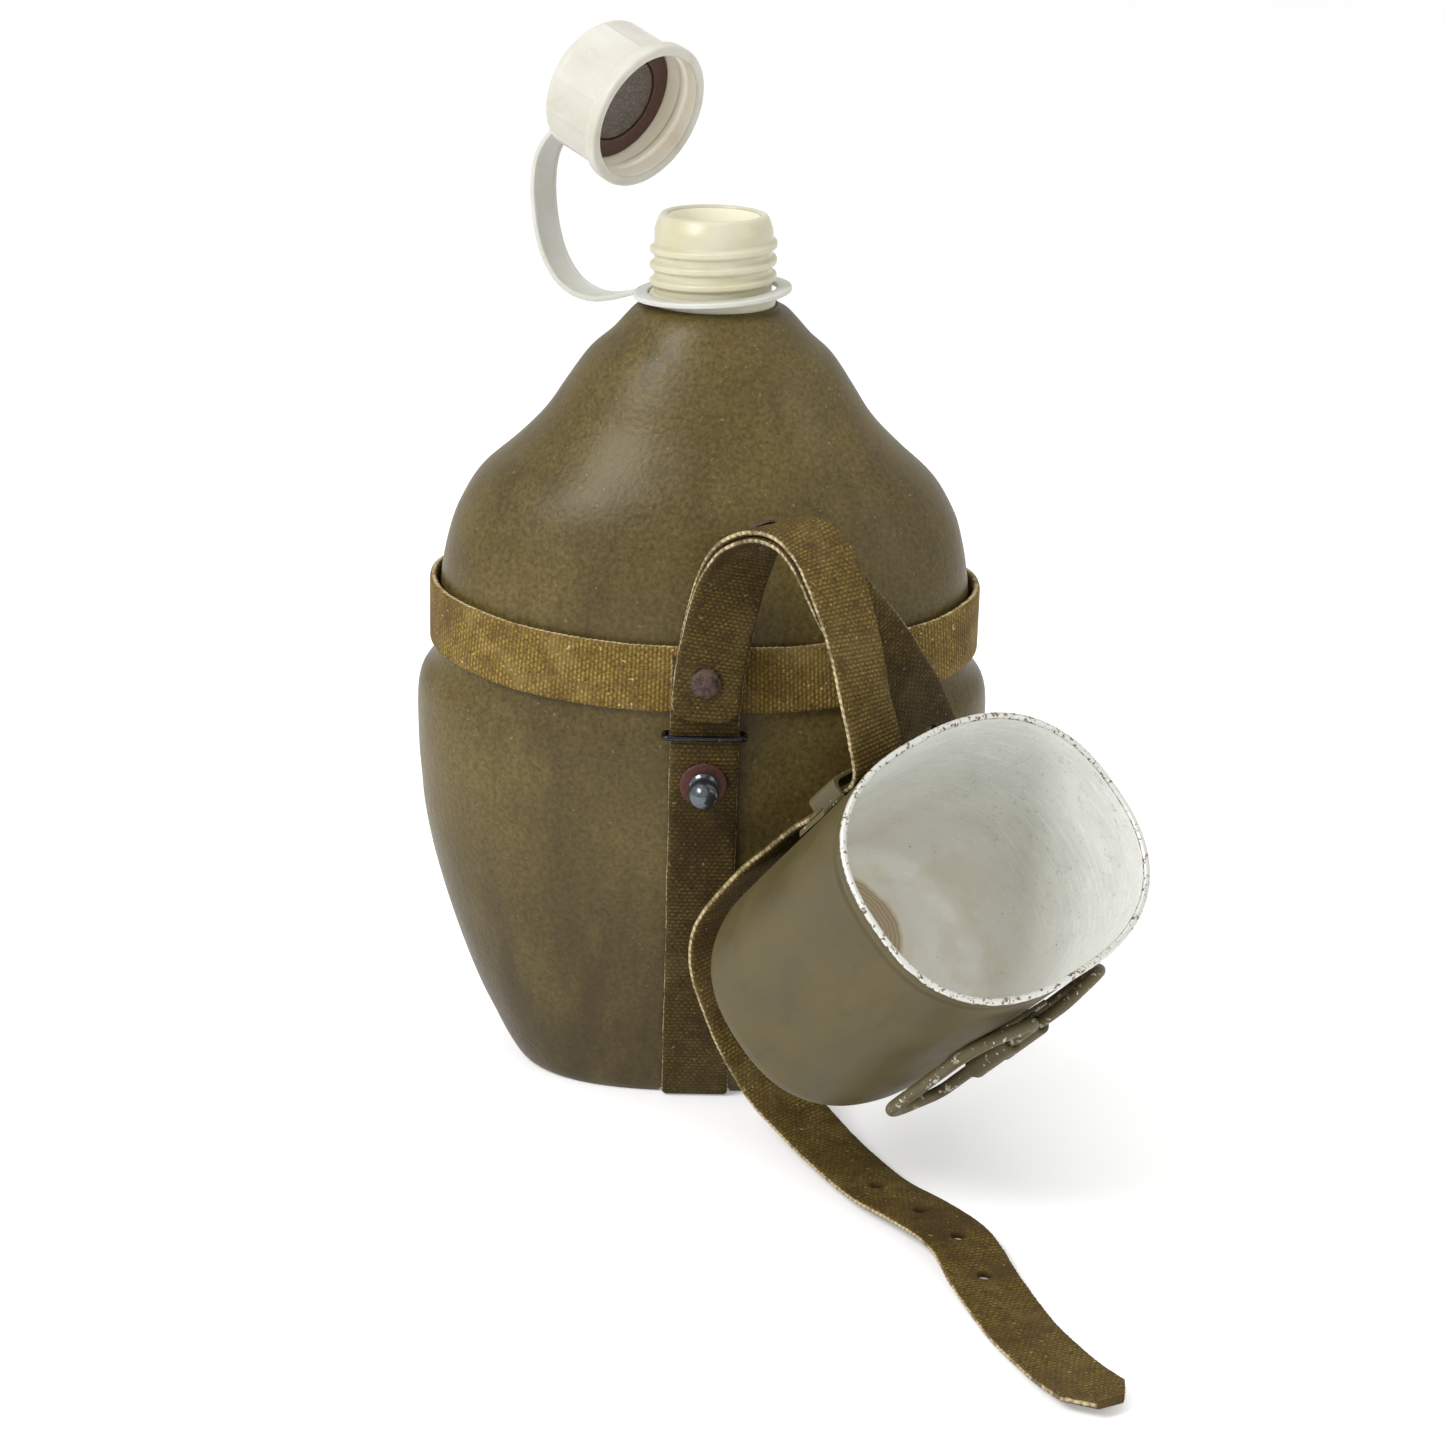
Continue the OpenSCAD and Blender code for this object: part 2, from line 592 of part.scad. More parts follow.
module bridge_outline() {
    top = wall_y(0, bridge_z) + bridge_rise;
    low_l = foot_line(0, -1);
    low_r = foot_line(0, 1);
    up_l = foot_line(1, -1);
    up_r = foot_line(1, 1);
    polygon(concat(
        [for (k = [3:-1:1]) low_l[k]],
        [[-bridge_half, low_l[0][1]], [-bridge_half, top - 1.4], [-bridge_half + 1.4, top],
         [bridge_half - 1.4, top], [bridge_half, top - 1.4], [bridge_half, low_r[0][1]]],
        [for (k = [1:3]) low_r[k]], [for (k = [3:-1:1]) up_r[k]],
        [[bridge_half + bridge_t, up_r[0][1]], [bridge_half + bridge_t, top - 1],
         [bridge_half - 1, top + bridge_t], [1 - bridge_half, top + bridge_t],
         [-bridge_half - bridge_t, top - 1], [-bridge_half - bridge_t, up_l[0][1]]],
        [for (k = [1:3]) up_l[k]]));
}

foot_x = bridge_half + bridge_t + bridge_foot * 0.55;

module cup_bridge() {
    color("#7c7a58") in_cup() difference() {
        translate([0, 0, bridge_z - bridge_w / 2]) linear_extrude(bridge_w) bridge_outline();
        wall_bores(foot_x, bridge_z, 1);
    }
}

// Small rivets through the cup's wall on the side s: a domed head standing out, a flat one inside
small_head_r = 2.3;
inside_head_r = 2;
inside_head_t = 0.9;
module wall_rivets(at_x, z, s, out) {
    tail = cup_t + 0.4;
    for (x = [-at_x, at_x]) on_wall(x, z, s) {
        translate([0, 0, out]) rivet(0.1, small_head_r, 1, small_shaft_r);
        translate([0, 0, -tail]) cylinder(h = tail + out + 0.2, r = small_shaft_r);
        translate([0, 0, -tail - inside_head_t]) cylinder(h = inside_head_t + 0.1, r = inside_head_r);
    }
}

module bridge_rivets() {
    color("#8d8a72") in_cup() wall_rivets(foot_x, bridge_z, 1, bridge_t + 0.45);
}

// Handle plate on the -Y wall, with a barrel at each side for a wing of the handle
plate_z = 37;
plate_half_w = 14;
plate_rivet_x = 11;
plate_h = 17;
plate_t = 1.2;
hinge_x = 5.2;
hinge_out = 3.6;     // distance of the hinge axes from the wall
barrel_r = 2.9;
pin_play = 0.06;     // running clearance of the wire in its barrel

function plate_y() = -wall_y(0, plate_z) - 0.2;
hinge_y = -(cup_b + hinge_out);

module plate_shape() {
    translate([-plate_half_w, plate_y() - plate_t, plate_z - plate_h / 2])
        cube([2 * plate_half_w, plate_t, plate_h]);
    for (s = [-1, 1]) translate([s * hinge_x, hinge_y, plate_z - plate_h / 2]) {
        cylinder(h = plate_h, r = barrel_r);
        translate([-1.4, 0, 0]) cube([2.8, -hinge_y + plate_y() - 0.2, plate_h]);
    }
}

module handle_plate() {
    color("#7c7a58") in_cup() difference() {
        plate_shape();
        for (s = [-1, 1]) translate([s * hinge_x, hinge_y, plate_z - plate_h])
            cylinder(h = 2 * plate_h, r = wire_d / 2 + pin_play);
        wall_bores(plate_rivet_x, plate_z, -1);
    }
}

module plate_rivets() {
    color("#8d8a72") in_cup() wall_rivets(plate_rivet_x, plate_z, -1, plate_t + 1.1);
}

module cup() {
    color("#7c7a58") in_cup() difference() {
        skin([for (r = cup_rows) cup_section(r)]);
        skin([for (r = hollow_rows) cup_section(r)]);
        wall_bores(foot_x, bridge_z, 1);
        wall_bores(plate_rivet_x, plate_z, -1);
    }
}

wing_reach = 20.5;   // from the hinge to the far end of a wing
wing_half_h = 22.5;  // half-height of a wing
wing_z = 34.5;       // height of a wing's middle above the cup's foot
wing_tuck = 8;       // turn of a folded wing in towards the wall
wing_bend = 9;       // bend radius at the far corners
near_bend = 3.4;     // bend radius next to the hinge

module bend(r, a) { rotate([0, 0, a]) rotate_extrude(angle = 90) translate([r, 0]) circle(d = wire_d); }
module rod(a, b) { along(a, b - a) cylinder(h = norm(b - a), d = wire_d); }

// Closed wire loop in the x-z plane: its straight side is the hinge, at x = 0
module wing() {
    far = wing_reach - wing_bend;
    high = wing_half_h - wing_bend;
    near = wing_half_h - near_bend;
    rod([0, 0, -near], [0, 0, near]);
    rod([wing_reach, 0, -high], [wing_reach, 0, high]);
    for (s = [-1, 1]) rod([near_bend, 0, s * wing_half_h], [far, 0, s * wing_half_h]);
    rotate([90, 0, 0]) {
        translate([far, high, 0]) bend(wing_bend, 0);
        translate([near_bend, near, 0]) bend(near_bend, 90);
        translate([near_bend, -near, 0]) bend(near_bend, 180);
        translate([far, -high, 0]) bend(wing_bend, 270);
    }
}

module handle_left() {
    color("#6f6c4d") in_cup() translate([-hinge_x, hinge_y, wing_z])
        mirror([1, 0, 0]) rotate([0, 0, wing_tuck]) wing();
}
module handle_right() {
    color("#6f6c4d") in_cup() translate([hinge_x, hinge_y, wing_z])
        rotate([0, 0, wing_tuck]) wing();
}

bottle();
cover();
waist_band();
vertical_strap();
cup_strap_upper();
cup_strap_middle();
cup_strap_tail();
belt_strap_fixed();
belt_strap_flap();
front_rivet();
arch_rivet();
back_rivet();
front_stud();
front_stud_washer();
front_keeper();
back_stud();
back_stud_washer();
back_keeper();
tether_ring();
tether_band();
cap();
cap_gasket();
cap_liner();
cup();
cup_bridge();
bridge_rivets();
handle_plate();
plate_rivets();
handle_left();
handle_right();
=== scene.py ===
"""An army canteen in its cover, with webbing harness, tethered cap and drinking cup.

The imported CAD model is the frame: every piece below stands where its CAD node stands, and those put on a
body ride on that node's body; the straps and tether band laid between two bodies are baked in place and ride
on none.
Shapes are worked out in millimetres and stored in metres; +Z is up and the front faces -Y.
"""

import functools
import math

import bpy
import numpy as np
from mathutils import Matrix, Vector, noise


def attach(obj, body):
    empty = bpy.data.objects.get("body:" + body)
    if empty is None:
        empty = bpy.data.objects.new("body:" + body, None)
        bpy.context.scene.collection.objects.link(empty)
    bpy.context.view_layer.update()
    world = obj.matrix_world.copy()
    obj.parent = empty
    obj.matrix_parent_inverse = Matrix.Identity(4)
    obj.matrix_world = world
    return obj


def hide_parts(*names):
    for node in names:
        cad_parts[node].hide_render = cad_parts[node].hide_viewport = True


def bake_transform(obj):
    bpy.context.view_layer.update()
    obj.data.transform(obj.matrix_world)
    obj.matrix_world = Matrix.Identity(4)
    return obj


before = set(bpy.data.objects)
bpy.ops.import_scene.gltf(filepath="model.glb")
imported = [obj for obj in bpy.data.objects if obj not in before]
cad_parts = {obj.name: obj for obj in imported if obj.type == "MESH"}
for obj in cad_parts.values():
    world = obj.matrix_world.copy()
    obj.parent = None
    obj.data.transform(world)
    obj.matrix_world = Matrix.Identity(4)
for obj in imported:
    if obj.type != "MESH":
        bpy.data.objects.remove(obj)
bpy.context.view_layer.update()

MM = 0.001
SCALLOP = 1.6       # distance between the loops of a strap's selvedge


# ---------- curves ----------


def smooth(points, steps):
    """Catmull-Rom curve through the points, with that many steps from each to the next."""
    p = np.array(points, float)
    padded = np.vstack([p[:1], p, p[-1:]])
    out = []
    for i in range(len(p) - 1):
        a, b, c, d = padded[i : i + 4]
        for k in range(steps):
            t = k / steps
            out.append(
                0.5 * (2 * b + (c - a) * t + (2 * a - 5 * b + 4 * c - d) * t * t
                       + (3 * b - a - 3 * c + d) * t ** 3)
            )
    out.append(p[-1])
    return np.array(out)


def unit(v):
    v = np.asarray(v, float)
    return v / np.linalg.norm(v, axis=-1, keepdims=True)


def washer_section(inner, outer, low, high, radius, start=None):
    """Section of a flat ring with its outer edges and one inner edge rounded, from a height on its bore."""
    first = low if start is None else start
    path = [(inner, first)] + ([(inner, low)] if start is not None else [])
    path += [(outer, low), (outer, high), (inner, high), (inner, first + 0.01)]
    return fillet(path, radius)


def tangents(p, closed=False):
    """Unit directions along a list of points."""
    if closed:
        return unit(np.roll(p, -1, 0) - np.roll(p, 1, 0))
    return unit(np.vstack([p[1] - p[0], p[2:] - p[:-2], p[-1] - p[-2]]))


def resample(points, spacing, *others):
    """The points, and any lists that go with them, at even spacing along the curve."""
    gaps = np.linalg.norm(np.diff(points, axis=0), axis=1)
    run = np.concatenate([[0], np.cumsum(gaps)])
    at = np.linspace(0, run[-1], max(2, int(round(run[-1] / spacing)) + 1))
    pick = lambda v: np.stack([np.interp(at, run, v[:, k]) for k in range(v.shape[1])], 1)
    return (pick(points),) + tuple(pick(v) for v in others) + (at,)


def rounded(before, corner, after, radius, steps):
    """Points on the curve that rounds off one corner."""
    back, ahead = before - corner, after - corner
    reach = min(radius, 0.48 * np.linalg.norm(back), 0.48 * np.linalg.norm(ahead))
    start, end = corner + unit(back) * reach, corner + unit(ahead) * reach
    shares = [k / steps for k in range(steps + 1)]
    return [(1 - t) ** 2 * start + 2 * t * (1 - t) * corner + t * t * end for t in shares]


def fillet(points, radius, steps=4):
    """A flat outline with each inner corner rounded."""
    p = [np.array(q, float) for q in points]
    out = [p[0]]
    for i in range(1, len(p) - 1):
        out += rounded(p[i - 1], p[i], p[i + 1], radius, steps)
    return np.array(out + [p[-1]])


def rounded_loop(corners, radius, steps=6):
    """A closed path through corners, each rounded."""
    p = [np.array(c, float) for c in corners]
    out = []
    for i in range(len(p)):
        out += rounded(p[i - 1], p[i], p[(i + 1) % len(p)], radius, steps)
    return np.array(out)


def turn(angle, axis):
    return Matrix.Rotation(math.radians(angle), 4, axis)


def move(x, y, z):
    """A shift in millimetres."""
    return Matrix.Translation(Vector((x, y, z)) * MM)


def round_angles(count):
    return np.linspace(0, 2 * math.pi, count, endpoint=False)


def along(point, direction):
    """A matrix that puts +Z along the direction, at a point in millimetres."""
    u = unit(direction)
    tilt = math.degrees(math.acos(max(-1, min(1, u[2]))))
    heading = math.degrees(math.atan2(u[1], u[0]))
    return move(*point) @ turn(heading, "Z") @ turn(tilt, "Y")


# ---------- meshes ----------


def mesh_object(name, points, faces, materials, face_materials=None, uvs=None, sharp=38, place=None):
    """A mesh from points in millimetres. uvs is one pair for each point, in metres."""
    mesh = bpy.data.meshes.new(name)
    mesh.from_pydata((np.asarray(points) * MM).tolist(), [], [list(f) for f in faces])
    mesh.validate()
    for m in materials if isinstance(materials, (list, tuple)) else [materials]:
        mesh.materials.append(m)
    if face_materials is not None:
        mesh.polygons.foreach_set("material_index", np.asarray(face_materials, np.int32))
    if uvs is not None:
        layer = mesh.uv_layers.new(name="run")
        loops = np.zeros(len(mesh.loops), np.int32)
        mesh.loops.foreach_get("vertex_index", loops)
        layer.data.foreach_set("uv", np.asarray(uvs, np.float32)[loops].ravel())
    mesh.shade_smooth()
    mesh.set_sharp_from_angle(angle=math.radians(sharp))
    mesh.update()
    obj = bpy.data.objects.new(name, mesh)
    bpy.context.scene.collection.objects.link(obj)
    if place is not None:
        obj.matrix_world = place
    return obj


def ring_faces(rows, n, close_along=False):
    """Faces between rings of n points that each close round."""
    faces = []
    for i in range(rows if close_along else rows - 1):
        a, b = i * n, ((i + 1) % rows) * n
        for k in range(n):
            j = (k + 1) % n
            faces.append((a + k, a + j, b + j, b + k))
    return faces


def ring_solid(name, rings, materials, inner_from=None, close_along=False, **more):
    """A solid through rings of points. From ring inner_from on, faces take the second material."""
    rings = np.asarray(rings, float)
    rows, n = rings.shape[:2]
    points = rings.reshape(-1, 3)
    faces = ring_faces(rows, n, close_along)
    kinds = [0 if inner_from is None or f[0] // n < inner_from else 1 for f in faces]
    if not close_along:
        ends = np.stack([rings[0].mean(0), rings[-1].mean(0)])
        points = np.vstack([points, ends])
        low, high = rows * n, rows * n + 1
        for k in range(n):
            j = (k + 1) % n
            faces.append((low, j, k))
            kinds.append(0)
            faces.append((high, (rows - 1) * n + k, (rows - 1) * n + j))
            kinds.append(0 if inner_from is None else 1)
    return mesh_object(name, points, faces, materials, kinds, **more)


def lathe(name, profile, materials, sides=96, radius=None, place=None, **more):
    """A solid of revolution through (radius, height) pairs. radius(r, z, angles) may change a ring."""
    angles = round_angles(sides)
    rings = []
    for r, z in profile:
        rr = np.full(sides, float(r)) if radius is None else radius(r, z, angles)
        rings.append(np.stack([rr * np.cos(angles), rr * np.sin(angles), np.full(sides, z)], 1))
    return ring_solid(name, rings, materials, place=place, **more)


def wire_loop(name, path, radius, material, place=None, sides=20):
    """Round wire along a closed path."""
    p = np.asarray(path, float)
    directions = tangents(p, closed=True)
    angles = round_angles(sides)
    side = np.cross(directions[0], [0.3, 0.5, 0.8])
    rings = []
    for middle, ahead in zip(p, directions):
        side = unit(side - np.dot(side, ahead) * ahead)
        other = np.cross(ahead, side)
        rings.append(middle + radius * (np.outer(np.cos(angles), side) + np.outer(np.sin(angles), other)))
    return ring_solid(name, rings, material, close_along=True, place=place, sharp=60)


def bevelled(obj, width):
    """Rounds the edges of a mesh for good."""
    m = obj.modifiers.new("edges", "BEVEL")
    m.width = width * MM
    m.segments = 2
    m.limit_method = "ANGLE"
    m.angle_limit = math.radians(35)
    return baked(obj)


def baked(obj):
    """Applies an object's modifiers to its mesh."""
    bpy.context.view_layer.update()
    view = bpy.context.evaluated_depsgraph_get()
    mesh = bpy.data.meshes.new_from_object(obj.evaluated_get(view))
    obj.modifiers.clear()
    obj.data = mesh
    return obj


def cut(obj, cutters):
    """Takes the cutters' volume out of the mesh and removes them."""
    for c in cutters:
        m = obj.modifiers.new("hole", "BOOLEAN")
        m.object = c
        m.operation = "DIFFERENCE"
        m.solver = "EXACT"
    baked(obj)
    for c in cutters:
        bpy.data.objects.remove(c)
    return obj


def put(obj, body, slot, *nodes):
    """Rides the piece on a body, in place of its CAD nodes."""
    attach(obj, body)
    if nodes:
        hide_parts(*nodes)
    return obj


def put_across(obj, a, b, start, end, slot, *nodes):
    """Bakes the piece where it stands, in place of its CAD nodes; it neither bends nor rides on a body. start
    and end are not used.
    """
    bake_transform(obj)
    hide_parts(*nodes)
    return obj


def wobble(point, scale, seed=0.0):
    """Smooth noise from -1 to 1 with features about that many millimetres across."""
    return noise.noise(Vector((point[0] / scale + seed, point[1] / scale, point[2] / scale)))


# ---------- materials ----------


class Shader:
    """A node material, built a socket at a time. Lengths are in metres."""

    def __init__(self, name):
        self.material = bpy.data.materials.new(name)
        self.material.use_nodes = True
        self.tree = self.material.node_tree
        self.tree.nodes.clear()

    def node(self, kind, inputs=(), **settings):
        n = self.tree.nodes.new("ShaderNode" + kind)
        for key, value in settings.items():
            setattr(n, key, value)
        for key, value in dict(inputs).items():
            socket = n.inputs[key]
            if isinstance(value, bpy.types.NodeSocket):
                self.tree.links.new(value, socket)
            else:
                socket.default_value = value
        return n

    def place(self):
        return self.node("TexCoord").outputs["Object"]

    def run(self):
        """Across and along a strap, from its UV map, in metres."""
        uv = self.node("UVMap", uv_map="run").outputs["UV"]
        xyz = self.node("SeparateXYZ", {"Vector": uv})
        return xyz.outputs["X"], xyz.outputs["Y"]

    def parts(self, vector):
        xyz = self.node("SeparateXYZ", {"Vector": vector})
        return xyz.outputs["X"], xyz.outputs["Y"], xyz.outputs["Z"]

    def stretched(self, vector, scale):
        return self.node("Mapping", {"Vector": vector, "Scale": scale}).outputs["Vector"]

    def noise(self, vector, size, detail=3.0, rough=0.5, warp=0.0):
        """Noise from 0 to 1 with features about size metres across."""
        values = {"Vector": vector, "Scale": 1 / size, "Detail": detail, "Roughness": rough,
                  "Distortion": warp}
        return self.node("TexNoise", values).outputs["Fac"]

    def cells(self, vector, size):
        return self.node("TexVoronoi", {"Vector": vector, "Scale": 1 / size}).outputs["Distance"]

    def math(self, operation, a, b=0.0):
        return self.node("Math", {0: a, 1: b}, operation=operation).outputs[0]

    def times(self, *values):
        return functools.reduce(lambda a, b: self.math("MULTIPLY", a, b), values)

    def plus(self, *values):
        return functools.reduce(lambda a, b: self.math("ADD", a, b), values)

    def distance(self, a, b):
        """Length of the hypotenuse over two sides."""
        return self.math("SQRT", self.plus(self.times(a, a), self.times(b, b)))

    def step(self, value, low, high, out_low=0.0, out_high=1.0):
        """Goes smoothly from out_low to out_high while value goes from low to high."""
        values = {"Value": value, "From Min": low, "From Max": high, "To Min": out_low, "To Max": out_high}
        return self.node("MapRange", values, interpolation_type="SMOOTHSTEP", clamp=True).outputs["Result"]

    def tones(self, value, dark, light):
        return self.ramp(value, (0.3, dark), (0.7, light))

    def ramp(self, value, *stops):
        n = self.node("ValToRGB", {"Fac": value})
        elements = n.color_ramp.elements
        while len(elements) < len(stops):
            elements.new(0.5)
        for element, (at, colour) in zip(elements, stops):
            element.position = at
            element.color = (*colour, 1)
        return n.outputs["Color"]

    def mix(self, factor, a, b, blend="MIX"):
        a, b = (v if isinstance(v, bpy.types.NodeSocket) else (*v, 1) for v in (a, b))
        return self.node("Mix", {0: factor, 6: a, 7: b}, data_type="RGBA", blend_type=blend).outputs[2]

    def bump(self, height, depth, strength=1.0, normal=None):
        values = {"Height": height, "Distance": depth, "Strength": strength}
        if normal is not None:
            values["Normal"] = normal
        return self.node("Bump", values).outputs["Normal"]

    def finish(self, colour, roughness, normal=None, **more):
        """The finished material. more names other inputs of the surface shader."""
        values = {"Base Color": colour, "Roughness": roughness}
        if normal is not None:
            values["Normal"] = normal
        values.update({key.replace("_", " "): value for key, value in more.items()})
        shader = self.node("BsdfPrincipled", values)
        out = self.node("OutputMaterial")
        self.tree.links.new(shader.outputs["BSDF"], out.inputs["Surface"])
        return self.material


def cover_material():
    s = Shader("cover_pebbled")
    p = s.place()
    grain = s.noise(p, 0.0011, 2.5, 0.6)
    pores = s.cells(p, 0.0016)
    patches = s.noise(p, 0.035, 4, 0.6, 0.4)
    z = s.parts(p)[2]
    streaks = s.noise(s.stretched(p, (1, 1, 0.16)), 0.012, 4, 0.65)
    base = s.tones(patches, (0.062, 0.043, 0.010), (0.104, 0.075, 0.021))
    base = s.mix(s.step(streaks, 0.50, 0.70, 0, 0.5), base, (0.046, 0.029, 0.008))
    speck = s.ramp(grain, (0.30, (0.62, 0.60, 0.55)), (0.5, (1, 1, 1)), (0.72, (1.4, 1.42, 1.5)))
    base = s.mix(0.85, base, speck, "MULTIPLY")
    dust = s.noise(p, 0.0009, 0, 0.5)
    base = s.mix(s.step(dust, 0.80, 0.86, 0, 0.35), base, (0.30, 0.26, 0.15))
    # Painted shade: the cover is made darker in streaks towards its base, standing in for the shade on its
    # lower part.
    painted_low_shade = s.times(s.step(z, 0.100, 0.015), s.step(streaks, 0.30, 0.58))
    base = s.mix(s.times(painted_low_shade, 0.65), base, (0.034, 0.022, 0.006))
    height = s.plus(s.times(grain, 0.7), s.times(pores, 0.5))
    rough = s.step(grain, 0.3, 0.8, 0.36, 0.52)
    return s.finish(base, rough, s.bump(height, 0.00018, 0.7), Specular_IOR_Level=0.26)


def webbing_material(name, painted_light_level):
    """Staggered flecks of olive-yellow weft on brown warp, with pale worn selvedges. The weave's colours are
    scaled by one level for each strap, which paints light on a lit strap and shade on a shaded one.
    """
    s = Shader(name)
    u, v = s.run()
    p = s.place()
    pitch_u, pitch_v = 0.00150, 0.00105
    row = s.math("FLOOR", s.math("DIVIDE", v, pitch_v))
    shift = s.times(s.math("MODULO", row, 2.0), 0.5)
    jitter = s.times(s.noise(p, 0.004, 1), 0.5)
    a = s.math("FRACT", s.plus(s.math("DIVIDE", u, pitch_u), shift, jitter))
    b = s.math("FRACT", s.math("DIVIDE", v, pitch_v))
    a, b = s.times(s.math("SUBTRACT", a, 0.5), 1.5), s.times(s.math("SUBTRACT", b, 0.5), 2.0)
    from_middle = s.distance(a, b)
    fleck = s.step(from_middle, 0.95, 0.25)
    fuzz = s.noise(p, 0.0007, 3, 0.7)
    blotches = s.plus(s.times(fuzz, 0.6), s.times(s.noise(p, 0.0032, 2, 0.6), 0.4))
    patch = s.noise(p, 0.011, 3, 0.6)
    # Painted light and shade: the colours below are scaled by the strap's level, lighter for a lit strap,
    # darker for a shaded one.
    with_painted_light = lambda *colour: tuple(c * painted_light_level for c in colour)
    brown = s.tones(fuzz, with_painted_light(0.046, 0.026, 0.006), with_painted_light(0.105, 0.066, 0.018))
    olive = s.ramp(patch, (0.35, with_painted_light(0.190, 0.135, 0.020)), (0.7, with_painted_light(0.270, 0.205, 0.045)))
    base = s.mix(s.times(fleck, s.step(blotches, 0.38, 0.60), 0.8), brown, olive)
    base = s.mix(s.step(patch, 0.50, 0.68, 0, 0.45), base, with_painted_light(0.150, 0.102, 0.036))
    dirt = s.noise(p, 0.019, 4, 0.6, 0.8)
    base = s.mix(s.step(dirt, 0.48, 0.70, 0, 0.7), base, with_painted_light(0.052, 0.028, 0.008))
    specks = s.step(s.noise(p, 0.0010, 0), 0.78, 0.84, 0, 0.65)
    base = s.mix(specks, base, with_painted_light(0.40, 0.32, 0.14))
    selvedge = s.step(s.plus(s.math("ABSOLUTE", u), s.times(fuzz, 0.0003)), 0.00868, 0.00884)
    loops = s.step(s.math("SINE", s.times(v, 2 * math.pi / (SCALLOP * MM))), -0.9, 0.6, 0.55, 1)
    worn = s.step(s.noise(p, 0.006, 3, 0.7), 0.40, 0.56, 0.25, 1)
    base = s.mix(s.times(selvedge, loops, worn), base, (0.50, 0.41, 0.25))
    height = s.plus(s.times(fleck, 0.8), s.times(fuzz, 0.6))
    return s.finish(base, s.step(fuzz, 0.3, 0.7, 0.62, 0.8), s.bump(height, 0.00025, 0.8),
                    Specular_IOR_Level=0.14)


def plastic_material(name, clear, cloudy, dirt_amount, rough):
    """Milky plastic that light soaks into."""
    s = Shader(name)
    p = s.place()
    cloud = s.noise(p, 0.014, 3, 0.55, 0.3)
    base = s.tones(cloud, clear, cloudy)
    grime = s.noise(p, 0.006, 5, 0.7, 0.6)
    base = s.mix(s.step(grime, 0.54, 0.74, 0, dirt_amount), base, (0.34, 0.28, 0.16))
    scratches = s.noise(s.stretched(p, (9, 9, 1)), 0.02, 4, 0.75)
    fine = s.noise(p, 0.0012, 2, 0.6)
    height = s.plus(s.times(scratches, 0.5), s.times(fine, 0.2))
    return s.finish(base, s.step(grime, 0.3, 0.7, rough, rough + 0.16), s.bump(height, 0.00012, 0.6),
                    Subsurface_Weight=0.35, Subsurface_Radius=(0.008, 0.007, 0.005),
                    Subsurface_Scale=0.35, IOR=1.5, Coat_Weight=0.05)


def paint_material(name, colour, chip_at=0.74, rim=None):
    """Enamel with chips down to bright metal. rim = (start, full) heights of the worn rim."""
    s = Shader(name)
    p = s.place()
    r, g, b = colour
    tone = s.noise(p, 0.02, 4, 0.6)
    base = s.tones(tone, (r * 0.78, g * 0.78, b * 0.74), (r * 1.18, g * 1.17, b * 1.15))
    grime = s.noise(s.stretched(p, (1, 1, 0.4)), 0.009, 5, 0.7, 0.5)
    base = s.mix(s.step(grime, 0.50, 0.74, 0, 0.5), base, (0.058, 0.041, 0.014))
    chips = s.step(s.noise(p, 0.0021, 2, 0.6), chip_at, chip_at + 0.02)
    if rim:
        z = s.parts(p)[2]
        ragged = s.noise(p, 0.0026, 4, 0.75)
        rubbed = s.plus(s.step(z, rim[0], rim[1], -0.2, 0.62), ragged)
        chips = s.math("MAXIMUM", chips, s.step(rubbed, 0.74, 0.80))
        brown = s.step(s.noise(p, 0.0012, 3, 0.7), 0.55, 0.62)
        bare = s.mix(brown, (0.62, 0.62, 0.58), (0.16, 0.11, 0.05))
    else:
        rust = s.step(s.noise(p, 0.0013, 3, 0.7), 0.42, 0.6)
        bare = s.mix(rust, (0.60, 0.59, 0.55), (0.22, 0.14, 0.08))
    base = s.mix(chips, base, bare)
    scuff = s.step(s.noise(s.stretched(p, (3, 3, 0.5)), 0.004, 4, 0.8), 0.66, 0.8, 0, 0.25)
    base = s.mix(scuff, base, (0.24, 0.22, 0.13))
    peel = s.noise(p, 0.0009, 2, 0.5)
    height = s.math("SUBTRACT", s.times(peel, 0.25), s.times(chips, 0.9))
    return s.finish(base, s.step(tone, 0.3, 0.7, 0.44, 0.58), s.bump(height, 0.00010, 0.7),
                    Metallic=s.times(chips, 0.75), Specular_IOR_Level=0.30)


STAIN_AT = (0.0075, 0.010)    # middle of the tide mark on the cup's floor, in metres
STAIN_R = 0.0178
RIM_FROM = 0.0722             # height where the worn rim starts


